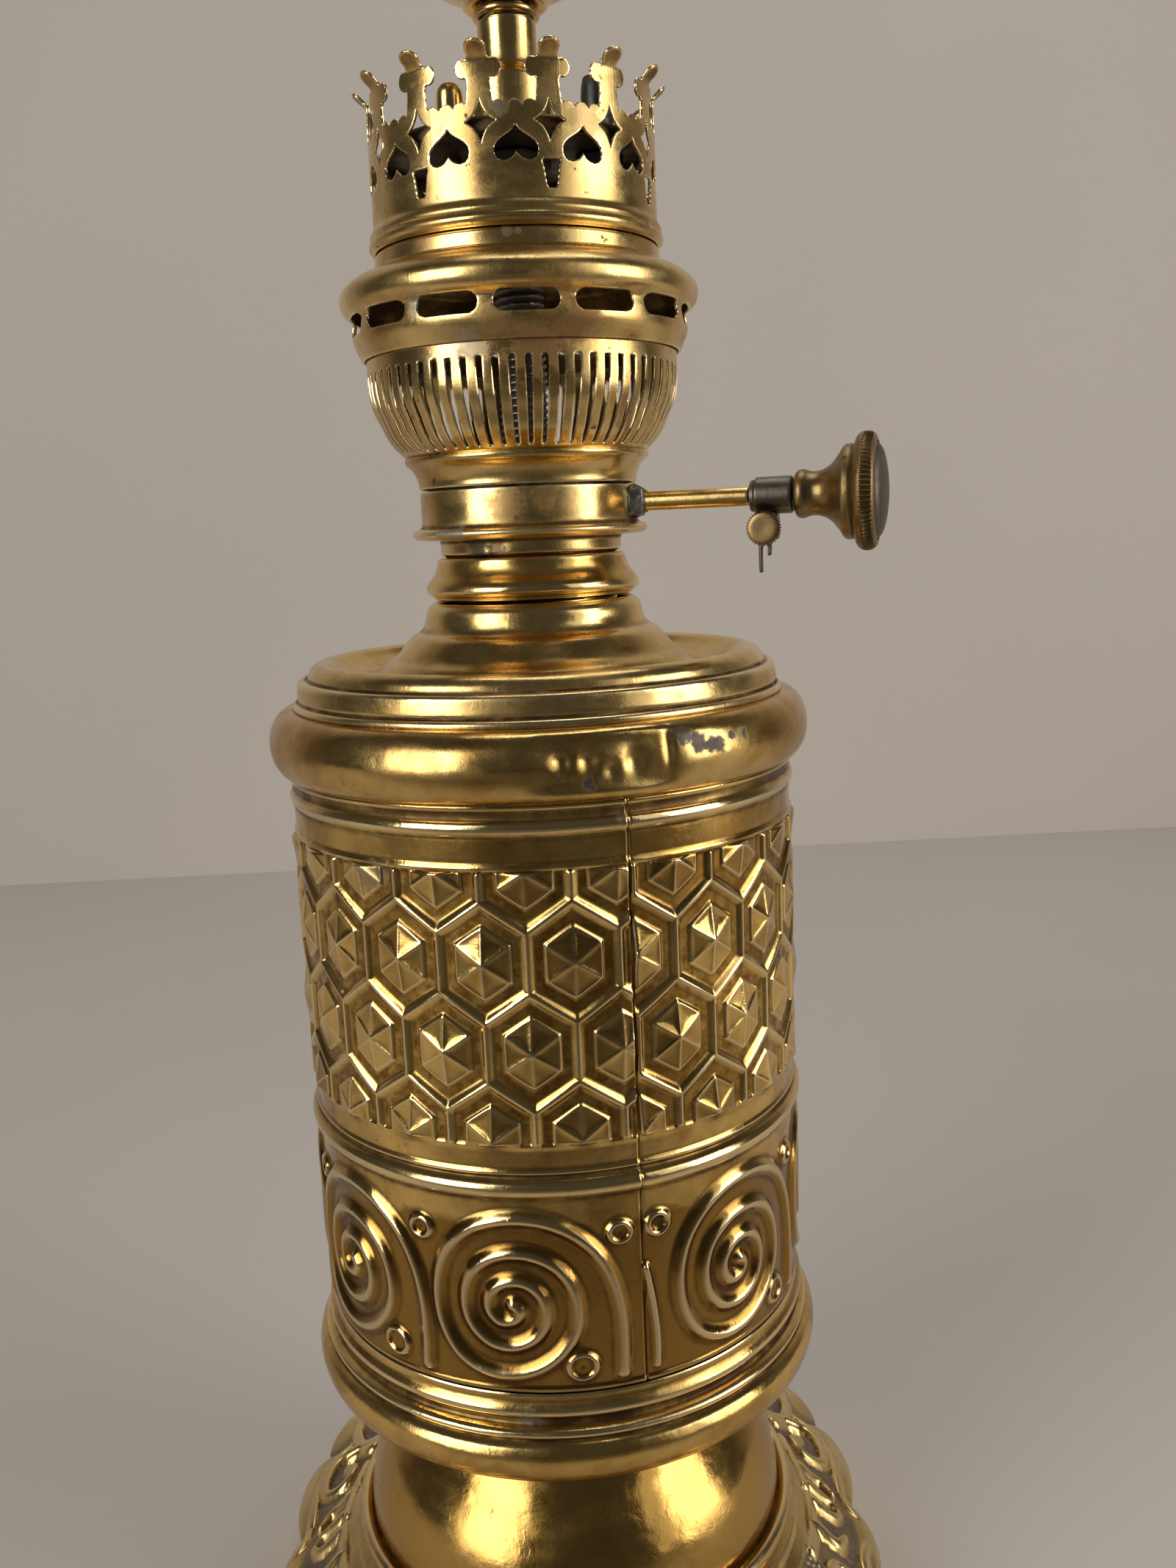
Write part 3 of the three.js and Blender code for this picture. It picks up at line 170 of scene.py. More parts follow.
def revolve(outline, segments=192, wrap=True):
    """A solid turned from an outline with the outside on its right: (vertices, faces, form)."""
    line = np.asarray(outline, float)
    form = hollow(line, wrap)
    angle = once_round(segments)
    rings = line if wrap else line[1:-1]
    verts = from_front(rings[:, :1], angle, rings[:, 1:2]).reshape(-1, 3)
    if wrap:
        return verts, [grid_quads(len(rings), segments, True)], np.repeat(form, segments)
    verts = np.vstack([verts, [[0, 0, line[0, 1]], [0, 0, line[-1, 1]]]])
    form = np.concatenate([np.repeat(form[1:-1], segments), [form[0], form[-1]]])
    return verts, capped(len(rings), segments), form


def closed_rings(rings, form=None):
    """A solid from rings of points, the last of which meets the first."""
    return np.concatenate(rings), [grid_quads(len(rings), len(rings[0]), True)], form


def spun(points, segments, thickness=0.8, calm=4, step=0.35):
    """A piece of sheet metal turned from the curve of its outer side."""
    return revolve(sheet_outline(curve(points), thickness, calm, step), segments)


def turned(points, segments=192, step=0.25, fine=None):
    """A solid piece turned from the curve of its whole outline."""
    return revolve(soften(resample(curve(points, fine or step), step, True), 1, True), segments)


def lined(outer, inner, step=0.3):
    """A piece turned from the curve of its outer side and the straight lines of its inner one."""
    line = np.vstack([resample(curve(outer), step), inner])
    return revolve(soften(resample(line, step, True), 1, True))


def on_axis(points, segments, step):
    """A solid piece turned from a curve that starts and ends on the axis."""
    return revolve(curve(points, step), segments, wrap=False)


def merged(*parts):
    """Several closed shells as one mesh."""
    verts, faces, forms, count = [], [], [], 0
    for v, f, form in parts:
        f = outward(v, f)
        verts.append(v)
        forms.append(np.zeros(len(v)) if form is None else form)
        faces += [x + count for x in f]
        count += len(v)
    return np.vstack(verts), faces, np.concatenate(forms)


def outward(verts, faces):
    """The faces, turned round where they enclose a negative volume."""
    volume = 0.0
    v = verts - verts.mean(0)
    for f in faces:
        for k in range(1, f.shape[1] - 1):
            volume += np.einsum("ij,ij->", v[f[:, 0]], np.cross(v[f[:, k]], v[f[:, k + 1]]))
    return faces if volume > 0 else [f[:, ::-1] for f in faces]


def linked(name, data):
    obj = bpy.data.objects.new(name, data)
    bpy.context.scene.collection.objects.link(obj)
    return obj


def build(name, made, body, material, replaced, crease=35, turn=0, shift=(0, 0, 0), dull=None):
    """A visible piece from vertices in millimetres, its faces and the form of its surface."""
    verts, faces, form = made
    if turn:
        c, s = math.cos(turn * DEG), math.sin(turn * DEG)
        verts = verts @ np.array([[c, s, 0], [-s, c, 0], [0, 0, 1]])
    verts = verts + np.array(shift, float)
    faces = outward(verts, faces)
    loops = np.concatenate([f.ravel() for f in faces]).astype(np.int32)
    sizes = np.concatenate([np.full(len(f), f.shape[1]) for f in faces])
    starts = np.concatenate([[0], np.cumsum(sizes)[:-1]]).astype(np.int32)
    mesh = bpy.data.meshes.new(name)
    mesh.vertices.add(len(verts))
    mesh.vertices.foreach_set("co", (verts * MM).astype(np.float32).ravel())
    mesh.loops.add(len(loops))
    mesh.loops.foreach_set("vertex_index", loops)
    mesh.polygons.add(len(sizes))
    mesh.polygons.foreach_set("loop_start", starts)
    mesh.update(calc_edges=True)
    mesh.validate()
    mesh.polygons.foreach_set("use_smooth", np.ones(len(mesh.polygons), bool))
    mesh.set_sharp_from_angle(angle=crease * DEG)
    for key, values in (("form", form), ("dull", dull)):
        if values is not None:
            layer = mesh.attributes.new(key, "FLOAT", "POINT")
            layer.data.foreach_set("value", np.asarray(values, np.float32))
    mesh.materials.append(material)
    obj = linked(name, mesh)
    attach(obj, body)
    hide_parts(*replaced)


# Marching squares: the kept polygons of a cell by which of its corners are kept.
# Corners 0 to 3 run round the cell, and 4 to 7 are the crossings on its sides.
CELLS = {
    1: [[0, 4, 7]], 2: [[1, 5, 4]], 3: [[0, 1, 5, 7]], 4: [[2, 6, 5]], 5: [[0, 4, 7], [2, 6, 5]],
    6: [[1, 2, 6, 4]], 7: [[0, 1, 2, 6, 7]], 8: [[3, 7, 6]], 9: [[0, 4, 6, 3]],
    10: [[1, 5, 4], [3, 7, 6]], 11: [[0, 1, 5, 6, 3]], 12: [[2, 3, 7, 5]], 13: [[0, 4, 5, 2, 3]],
    14: [[1, 2, 3, 7, 4]], 15: [[0, 1, 2, 3]],
}
# Form of a pierced sheet: its edges take the pale worn colour, which is also a painted highlight, and its
# inner side is darker, partly tarnish and partly painted shade
EDGE_FORM, INNER_FORM = -0.25, 0.16
# A distance that nothing on a piece reaches, in millimetres
FAR_AWAY = 99.0


def pierced(inside, rows, place, thickness, rounding):
    """Sheet metal with holes. inside is a grid of distances into the metal, which goes once round,
    and rows its levels along the profile; place(angle, level, offset) gives points."""
    nr, nc = inside.shape
    count = nr * nc
    angle = once_round(nc)
    kept = inside > 0
    right = np.roll(inside, -1, 1)
    share_h = np.clip(inside / np.where(inside == right, 1, inside - right), 0.02, 0.98)
    up = np.vstack([inside[1:], inside[-1:]])
    share_v = np.clip(inside / np.where(inside == up, 1, inside - up), 0.02, 0.98)
    level = np.broadcast_to(rows[:, None], inside.shape)
    next_level = np.vstack([level[1:], level[-1:]])
    a = np.broadcast_to(angle, inside.shape)
    angles = np.stack([a, a + share_h * TURN / nc, a]).ravel()
    levels = np.stack([level, level, level + share_v * (next_level - level)]).ravel()
    depth = np.concatenate([np.maximum(inside, 0).ravel(), np.zeros(2 * count)])

    i, j = np.meshgrid(np.arange(nr - 1), np.arange(nc), indexing="ij")
    k = (j + 1) % nc
    corner = [i * nc + j, i * nc + k, (i + 1) * nc + k, (i + 1) * nc + j]
    crossing = [count + corner[0], 2 * count + corner[1], count + corner[3], 2 * count + corner[0]]
    local = np.stack(corner + crossing, -1).reshape(-1, 8)
    flat = kept.ravel()
    case = sum(flat[c].astype(int) << b for b, c in enumerate(corner)).ravel()
    faces, rims = {3: [], 4: [], 5: []}, []
    for code, shapes in CELLS.items():
        cells = local[case == code]
        for shape in shapes:
            faces[len(shape)].append(cells[:, shape])
            for p, q in zip(shape, shape[1:] + shape[:1]):
                if p > 3 and q > 3:
                    rims.append(cells[:, [p, q]])
    faces = [np.concatenate(f) for f in faces.values() if f]
    rims = np.concatenate(rims)
    used = np.unique(np.concatenate([f.ravel() for f in faces]))
    renumber = np.zeros(3 * count, np.int64)
    renumber[used] = np.arange(len(used))
    angles, levels, depth = angles[used], levels[used], depth[used]
    near = np.minimum(depth, rounding)
    half = thickness / 2 - rounding + np.sqrt(np.maximum(rounding**2 - (rounding - near) ** 2, 0))
    verts = np.vstack([place(angles, levels, half), place(angles, levels, -half)])
    n = len(used)
    faces = [renumber[f] for f in faces]
    rims = renumber[rims]
    walls = np.stack([rims[:, 1], rims[:, 0], rims[:, 0] + n, rims[:, 1] + n], 1)
    # Painted highlight along the cut edges, and painted shade with tarnish on the inner side
    edge = EDGE_FORM * np.exp(-((depth / (1.5 * rounding)) ** 2))
    form = np.concatenate([edge, edge + INNER_FORM])
    return verts, faces + [f[:, ::-1] + n for f in faces] + [walls], form


def along(line, margin, step):
    """A profile line looked up by the distance along it: place() for pierced(), that distance at each
    of the line's points, the levels of a grid over it, and those levels' radius and height."""
    far = reach_along(line)
    normal = sides(line)
    rows = np.linspace(-margin, far[-1] + margin, int(far[-1] / step) + 3)

    def look_up(levels, offset):
        return [np.interp(levels, far, line[:, k]) + np.interp(levels, far, normal[:, k]) * offset
                for k in (0, 1)]

    def place(angles, levels, offset):
        r, z = look_up(levels, offset)
        return from_front(r, angles, z)

    r, z = look_up(rows[:, None], 0)
    return place, far, rows, r, z


def to_polygon(x, z, points):
    """Signed distance to a polygon, positive outside."""
    p = np.array(points, float)
    best = np.full(x.shape, FAR_AWAY**2)
    inside = np.zeros(x.shape, bool)
    for a, b in zip(p, np.roll(p, -1, 0)):
        ex, ez = b - a
        if ex * ex + ez * ez < 1e-9:
            continue
        wx, wz = x - a[0], z - a[1]
        t = unit((wx * ex + wz * ez) / (ex * ex + ez * ez))
        best = np.minimum(best, (wx - ex * t) ** 2 + (wz - ez * t) ** 2)
        crosses = (a[1] > z) != (b[1] > z)
        with np.errstate(divide="ignore", invalid="ignore"):
            at = a[0] + (z - a[1]) * ex / (ez if ez else 1e-12)
        inside ^= crosses & (x < at)
    best = np.sqrt(best)
    return np.where(inside, -best, best)


def bezier(points, steps=14):
    """Points along cubic curves that share their ends."""
    out = []
    for i in range(0, len(points) - 1, 3):
        a, b, c, d = (np.array(q, float) for q in points[i : i + 4])
        t = np.linspace(0, 1, steps, endpoint=False)[:, None]
        out.append(a * (1 - t) ** 3 + 3 * b * t * (1 - t) ** 2 + 3 * c * t * t * (1 - t) + d * t**3)
    return np.concatenate(out)


def bump_of(distance, half):
    """A rounded ridge of unit height by the distance from its middle."""
    return np.maximum(1 - np.abs(distance / half) ** 2.0, 0) ** 0.7


def unit(x):
    """Values held between nought and one."""
    return np.clip(x, 0, 1)


def swell(distance, half):
    """A soft ridge of unit height, which runs out smoothly on both sides."""
    return 0.5 + 0.5 * np.cos(math.pi * np.clip(distance / half, -1, 1))


def fold(angle_deg, count, phase):
    """Angles in degrees folded to the nearest of count places round the circle."""
    pitch = 360 / count
    return (angle_deg - phase + pitch / 2) % pitch - pitch / 2


def unevenness(a, z):
    """A few slow waves over angle and height, as hand work leaves them, in millimetres."""
    waves, height = 6, 0.12
    rng = np.random.default_rng(3)
    total = 0
    for _ in range(waves):
        n = rng.integers(2, 9)
        size = rng.uniform(0.3, 1)
        total = total + size * np.sin(n * a + z / rng.uniform(8, 30) + rng.uniform(0, TURN))
    return total * height / waves


# Materials


class Shade:
    """A node material under construction."""

    def __init__(self, name):
        self.material = bpy.data.materials.new(name)
        self.material.use_nodes = True
        self.tree = self.material.node_tree
        self.tree.nodes.clear()

    def node(self, kind, inputs=None, **settings):
        made = self.tree.nodes.new(kind)
        for key, value in settings.items():
            setattr(made, key, value)
        for key, value in (inputs or {}).items():
            if isinstance(value, bpy.types.NodeSocket):
                self.tree.links.new(value, made.inputs[key])
            else:
                made.inputs[key].default_value = value
        return made

    def place(self, scale=(1, 1, 1), turn=(0, 0, 0)):
        source = self.node("ShaderNodeTexCoord").outputs["Object"]
        inputs = {"Vector": source, "Scale": scale, "Rotation": turn}
        return self.node("ShaderNodeMapping", inputs).outputs["Vector"]

    def coordinate(self, axis):
        return self.node("ShaderNodeSeparateXYZ", {"Vector": self.place()}).outputs[axis]

    def noise(self, scale, detail, rough=0.5, stretch=(1, 1, 1), turn=(0, 0, 0), distort=0.0):
        inputs = {"Vector": self.place(stretch, turn), "Scale": scale, "Detail": detail,
                  "Roughness": rough, "Distortion": distort}
        return self.node("ShaderNodeTexNoise", inputs).outputs["Fac"]

    def ramp(self, value, low, high, to_low=0.0, to_high=1.0):
        inputs = {"Value": value, "From Min": low, "From Max": high, "To Min": to_low, "To Max": to_high}
        return self.node("ShaderNodeMapRange", inputs, interpolation_type="SMOOTHSTEP").outputs["Result"]

    def math(self, operation, a, b, clamp=False):
        return self.node("ShaderNodeMath", {0: a, 1: b}, operation=operation, use_clamp=clamp).outputs[0]

    def plus(self, a, b, clamp=False):
        return self.math("ADD", a, b, clamp)

    def times(self, a, b):
        return self.math("MULTIPLY", a, b)

    def swing(self, noise, scale):
        """A noise moved so that it lies round nought."""
        return self.times(self.math("SUBTRACT", noise, 0.5), scale)

    def mix(self, share, a, b):
        a, b = ((*c, 1.0) if isinstance(c, tuple) else c for c in (a, b))
        return self.node("ShaderNodeMixRGB", {"Fac": share, "Color1": a, "Color2": b}).outputs["Color"]

    def bump(self, height, distance, normal=None):
        inputs = {"Height": height, "Distance": distance, "Strength": 1.0}
        if normal is not None:
            inputs["Normal"] = normal
        return self.node("ShaderNodeBump", inputs).outputs["Normal"]

    def finish(self, **inputs):
        surface = self.node("ShaderNodeBsdfPrincipled", {k.replace("_", " "): v for k, v in inputs.items()})
        out = self.node("ShaderNodeOutputMaterial")
        self.tree.links.new(surface.outputs[0], out.inputs["Surface"])
        return self.material


def metal(name, bright, brown, patina, rough, aged, lines, waves, grain, specks,
          depth=0.9, zone=None, marks=()):
    """Old metal: paler on ridges and edges, both worn bright and with a painted highlight, brown in patches
    and dark in its grooves. The numbers are its roughness, then how far it is brown, turned in lines, uneven,
    grainy and specked, and how dark its grooves are. zone is a height in millimetres under which it is
    browner, with how much, partly tarnish and partly a painted dark reflection; marks are stains: place,
    size, colour and strength."""
    s = Shade(name)
    form, dull = (s.node("ShaderNodeAttribute", attribute_name=key).outputs["Fac"]
                  for key in ("form", "dull"))
    broad = s.noise(28, 4, 0.55)
    patch = s.noise(95, 5, 0.6, distort=0.4)
    fine = s.noise(420, 5, 0.65)
    grit = s.noise(2300, 3, 0.6)
    lathe = s.noise(1.0, 3, 0.6, stretch=(40, 40, 4200))
    scratch = s.noise(1.0, 3, 0.6, stretch=(420, 420, 30), turn=(0.5, 0.3, 0.9))
    wipe = s.noise(1.0, 4, 0.6, stretch=(70, 70, 190), turn=(0.2, 0.1, 0))

    tone = s.ramp(s.plus(s.times(broad, 0.6), s.times(patch, 0.4)), 0.42, 0.62, 0.0, aged)
    # Browner under a height: partly tarnish and partly a painted dark reflection
    if zone:
        level, share = zone
        edge = s.plus(s.coordinate("Z"), s.swing(patch, 0.012))
        tone = s.math("MAXIMUM", tone, s.ramp(edge, (level - 2) * MM, (level + 1) * MM, share, 0.0))
    colour = s.mix(tone, bright, brown)
    speck = s.times(s.times(s.ramp(fine, 0.60, 0.70), s.ramp(patch, 0.45, 0.6)), specks)
    groove = s.ramp(s.plus(form, s.swing(fine, 0.1)), 0.015, 0.13)
    groove = s.times(groove, s.ramp(patch, 0.3, 0.6, depth * 0.6, depth))
    dirt = s.math("MAXIMUM", groove, speck)
    mottled = s.times(dull, s.ramp(fine, 0.35, 0.62, 0.45, 1.0))
    colour = s.mix(mottled, colour, brown)
    colour = s.mix(dirt, colour, patina)
    # Ridges and edges turn paler: worn bright, and a painted highlight as well
    yellow = bright[2] < 0.3 * bright[0]
    rubbed_and_highlight = RUBBED_AND_HIGHLIGHT if yellow else tuple(min(1, c * 1.15) for c in bright)
    colour = s.mix(s.ramp(form, -0.14, -0.02, 0.7, 0.0), colour, rubbed_and_highlight)
    for (x, y, z), size, stain, strength in marks:
        apart = {0: s.place(), 1: (x * MM, y * MM, z * MM)}
        away = s.node("ShaderNodeVectorMath", apart, operation="DISTANCE").outputs["Value"]
        away = s.math("DIVIDE", away, size * MM)
        away = s.plus(s.plus(away, s.swing(patch, 1.5)), s.swing(fine, 2.4))
        mark = s.ramp(away, 0.55, 1.2, strength, 0.0)
        colour = s.mix(mark, colour, stain)
        dirt = s.math("MAXIMUM", dirt, mark)

    wiped = s.plus(s.times(wipe, 0.5), s.times(patch, 0.5))
    roughness = s.ramp(wiped, 0.35, 0.7, rough * 0.7, rough * 1.6)
    roughness = s.plus(roughness, s.times(dirt, 0.26))
    roughness = s.plus(roughness, s.times(dull, 0.17))
    roughness = s.plus(roughness, s.times(s.ramp(grit, 0.4, 0.8), 0.06), clamp=True)
    metallic = s.ramp(dirt, 0.2, 1.0, 1.0, 0.75)

    normal = s.bump(broad, 0.0011 * waves)
    normal = s.bump(patch, 0.00022 * waves, normal)
    normal = s.bump(lathe, 0.00002 * lines, normal)
    normal = s.bump(s.ramp(scratch, 0.62, 0.72), 0.00001, normal)
    normal = s.bump(s.plus(fine, s.times(grit, 0.35)), 0.00004 * grain, normal)
    return s.finish(Base_Color=colour, Metallic=metallic, Roughness=roughness, Normal=normal)


def stains(*rows):
    """Marks from rows of degrees from the front, radius, height, size, colour and strength."""
    return [((r * math.sin(a * DEG), -r * math.cos(a * DEG), z), *rest) for a, r, z, *rest in rows]


# Colours of the brass
# Pale colour of worn ridges, which also serves as their painted highlight
RUBBED_AND_HIGHLIGHT = (0.95, 0.76, 0.42)
BRIGHT = (0.84, 0.55, 0.175)
BROWN = (0.4, 0.19, 0.03)
PATINA = (0.055, 0.024, 0.007)
SOOT = (0.035, 0.022, 0.014)
# Colours of the marks; a chip has its strength as well
CHIP = (0.07, 0.062, 0.055), 0.95
SCORCH, PALE, BURNT, DROP = (0.12, 0.08, 0.05), (0.2, 0.17, 0.14), (0.42, 0.24, 0.08), (0.2, 0.2, 0.19)
SPLASH = (0.33, 0.33, 0.33)

ROLL_MARKS = stains(
    (3.3, 56.3, 214.9, 1.3, *CHIP), (5.6, 56.2, 214.4, 1.2, *CHIP), (8.2, 56.0, 213.9, 1.7, *CHIP),
    (11.2, 56.2, 214.3, 1.3, *CHIP), (25.2, 55.8, 221.4, 1.2, *CHIP), (27.6, 55.9, 220.9, 2.0, *CHIP),
    (30.4, 56.6, 219.5, 2.2, *CHIP), (33.0, 56.8, 218.7, 1.6, *CHIP), (35.0, 56.8, 218.3, 1.6, *CHIP),
    (38.5, 56.6, 219.9, 1.0, *CHIP), (41.9, 56.5, 219.8, 1.5, *CHIP))
SHELL_MARKS = stains((-37.4, 54, 196.5, 3.6, (0.22, 0.19, 0.15), 0.55), (15.3, 53.5, 207.2, 1.6, PALE, 0.6))
FLOOR_MARKS = stains((-9, 53, 88.5, 2.4, (0.35, 0.33, 0.31), 0.5))
BURNER_MARKS = stains(
    (29.7, 28.4, 331.0, 3.6, SCORCH, 0.5), (-3.6, 28.4, 333.0, 2.0, PALE, 0.8),
    (11.5, 28.4, 335.4, 2.6, SCORCH, 0.6), (-3.2, 28.6, 311.7, 1.0, DROP, 0.7),
    (0.8, 28.6, 311.8, 0.7, DROP, 0.7), (-34.4, 33.8, 299.5, 2.6, (0.36, 0.33, 0.28), 0.8),
    (8.6, 33.8, 300.5, 5.5, (0.3, 0.15, 0.05), 0.65), (18.7, 34, 295.4, 5.0, (0.26, 0.13, 0.045), 0.8),
    (-8, 34, 295.8, 3.2, (0.3, 0.16, 0.06), 0.6), (-17.3, 31.4, 291.6, 3.4, (0.3, 0.26, 0.2), 0.7),
    (4, 31.4, 291.0, 5.5, (0.36, 0.18, 0.07), 0.8), (-36.6, 24.5, 258.0, 2.8, SPLASH, 0.8),
    (-46, 24.5, 258.4, 2.0, SPLASH, 0.7), (-35, 18.9, 255.0, 3.6, (0.06, 0.045, 0.03), 0.95),
    (-22, 18.9, 255.4, 2.4, (0.08, 0.055, 0.035), 0.8), (-11, 22.4, 262.7, 4.4, BURNT, 0.6),
    (8, 22.4, 264.0, 3.4, BURNT, 0.5))

polished = metal("brass_polished", BRIGHT, BROWN, PATINA, 0.17, 0.6, 0.3, 0.5, 0.25, 0.35)
rolled = metal("brass_rolled", (0.76, 0.52, 0.19), BROWN, PATINA, 0.2, 0.7, 0.2, 0.6, 0.4, 0.6,
               marks=ROLL_MARKS)
embossed = metal("brass_embossed", BRIGHT, (0.27, 0.135, 0.022), PATINA, 0.12, 0.7, 0.1, 0.4, 0.5, 0.6,
                 zone=(128.6, 0.85), marks=SHELL_MARKS + FLOOR_MARKS)
lower = metal("brass_lower", (0.78, 0.5, 0.155), (0.32, 0.16, 0.026), PATINA, 0.16, 0.65, 0.3, 0.6, 0.3, 0.5,
              1.0, (79.0, 0.5), FLOOR_MARKS)
satin = metal("brass_satin", (0.84, 0.59, 0.23), (0.5, 0.29, 0.085), PATINA,
              0.21, 0.6, 0.4, 0.5, 0.3, 0.35, 1.0)
burner_brass = metal("brass_burner", (0.8, 0.56, 0.22), (0.42, 0.23, 0.06), PATINA, 0.22, 0.7, 0.3, 0.25,
                     0.6, 0.9, marks=BURNER_MARKS)
cast = metal("brass_cast", (0.72, 0.52, 0.2), (0.42, 0.27, 0.1), (0.15, 0.115, 0.11),
             0.26, 0.5, 0.0, 0.4, 0.9, 0.6)
aged = metal("brass_aged", (0.27, 0.18, 0.08), (0.16, 0.1, 0.042), (0.05, 0.034, 0.016),
             0.36, 0.8, 0.4, 0.3, 0.9, 1.0)
sooty = metal("brass_sooty", (0.15, 0.105, 0.05), (0.085, 0.058, 0.03), SOOT, 0.42, 0.8, 0.3, 0.3, 0.8, 1.0)
tank_metal = metal("brass_tank", (0.5, 0.35, 0.14), (0.3, 0.18, 0.06), (0.06, 0.04, 0.02),
                   0.34, 0.9, 1.0, 0.5, 0.8, 1.0)
steel = metal("steel_dark", (0.15, 0.13, 0.105), (0.1, 0.08, 0.055), (0.03, 0.024, 0.018),
              0.4, 0.7, 0.3, 0.1, 1.0, 0.8)
zinc = metal("steel_zinc", (0.6, 0.58, 0.54), (0.42, 0.38, 0.32), (0.1, 0.085, 0.07),
             0.3, 0.6, 0.0, 0.1, 0.6, 0.8)
iron = metal("iron_old", (0.3, 0.28, 0.26), (0.2, 0.12, 0.07), (0.05, 0.035, 0.025),
             0.48, 0.8, 0.2, 0.3, 1.6, 1.0)
solder = metal("solder_grey", (0.26, 0.25, 0.23), (0.18, 0.16, 0.13), (0.06, 0.05, 0.04),
               0.4, 0.7, 0.0, 0.3, 1.4, 0.8)


def ceramic():
    s = Shade("porcelain_glazed")
    broad = s.noise(60, 3)
    fine = s.noise(900, 3)
    colour = s.mix(s.ramp(broad, 0.4, 0.65), (0.82, 0.78, 0.7), (0.74, 0.69, 0.6))
    colour = s.mix(s.ramp(fine, 0.68, 0.74, 0, 0.5), colour, (0.35, 0.29, 0.22))
    roughness = s.ramp(broad, 0.35, 0.7, 0.16, 0.34)
    normal = s.bump(broad, 0.0003, s.bump(fine, 0.00002))
    return s.finish(Base_Color=colour, Roughness=roughness, Normal=normal, Coat_Weight=0.4)


def moulded():
    s = Shade("plastic_black")
    broad = s.noise(140, 3)
    fine = s.noise(1800, 3)
    colour = s.mix(s.ramp(broad, 0.4, 0.65), (0.012, 0.012, 0.013), (0.03, 0.028, 0.026))
    roughness = s.ramp(broad, 0.35, 0.7, 0.32, 0.52)
    return s.finish(Base_Color=colour, Roughness=roughness, Normal=s.bump(fine, 0.00003))


porcelain = ceramic()
plastic = moulded()

SLOT_MATERIAL = {
    "brass": polished, "aged_brass": aged, "cast_brass": cast, "iron": iron,
    "steel": steel, "solder": solder, "porcelain": porcelain, "plastic": plastic,
}
CARRIED = {
    "aged_brass": ["wick_wheel"],
    "iron": ["tie_rod", "foot_washer", "foot_nut", "tie_nut"],
    "steel": ["wick_spindle", "floor_nut_lower", "floor_nut_upper", "plate_nut", "holder_nut",
              "terminal_screw_left", "terminal_screw_right"],
    "plastic": ["gland_nut"],
    "brass": ["centre_contact"],
    "porcelain": ["socket_insert"],
}
for slot, names in CARRIED.items():
    for name in names:
        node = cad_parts[name]
        node.data.materials.clear()
        node.data.materials.append(SLOT_MATERIAL[slot])

# Foot

FOOT_HEIGHT, FOOT_TOP, FOOT_HALF, FOOT_SQUARE, FOOT_LOBES, LOBE_RISE = 31, 51, 70, 4.5, 16, 3.5
FOOT_WALL, ROD_HOLE = 3.6, 4.3


def foot_lobes(a):
    return np.abs(np.cos(FOOT_LOBES * a / 2)) ** 0.8


def foot_edge(a):
    reach = np.abs(np.cos(a)) ** FOOT_SQUARE + np.abs(np.sin(a)) ** FOOT_SQUARE
    return FOOT_HALF * reach ** (-1 / FOOT_SQUARE) + LOBE_RISE * foot_lobes(a)


def stroke(x, y, points, half_from, half_to):
    """Distance from the middle of a tapered stroke, over its half width there."""
    line = catmull(points, 0.4)
    best = np.full(x.shape, FAR_AWAY)
    for (px, py), half in zip(line, half_from + (half_to - half_from) * np.linspace(0, 1, len(line))):
        best = np.minimum(best, np.hypot(x - px, y - py) / half)
    return best


def foot_relief(x, y):
    """Height of the carving on one eighth of the foot: x along the corner's axis, y across it, folded."""
    total = np.zeros(x.shape)
    strokes = [
        # Stem from the ring to the corner, and the leaf on the corner's axis
        ([(53, 15), (59, 14), (66, 14.5), (73, 11), (80, 4.5)], 2.3, 1.6, 2.0),
        ([(55, 1), (61, 3.5), (68, 5), (75, 2)], 2.8, 1.4, 1.9),
        # Arm that leaves the stem, runs along the edge and rolls in
        ([(66, 15), (69, 20), (66, 27), (60, 31), (55.5, 29), (56.5, 24.5), (60, 24)], 1.9, 1.5, 2.0),
        ([(72, 14), (71, 21), (67, 29), (60, 36), (54, 43), (52, 51)], 1.5, 1.7, 1.6),
        # Comma-shaped pods
        ([(57.5, 18), (61, 18.5), (63.5, 21)], 2.5, 1.0, 2.3),
        ([(48, 33), (51, 36), (50.5, 40)], 2.6, 1.0, 2.3),
        ([(43, 39), (46, 42.5), (45.5, 46)], 2.2, 0.9, 2.1),
        # Ridges that follow the ring
        ([(51.5, 24), (47.5, 31), (41, 38.5)], 1.5, 1.5, 1.4),
    ]
    for points, wide, narrow, rise in strokes:
        total = np.maximum(total, rise * bump_of(stroke(x, y, points, wide, narrow), 1.0))
    return total


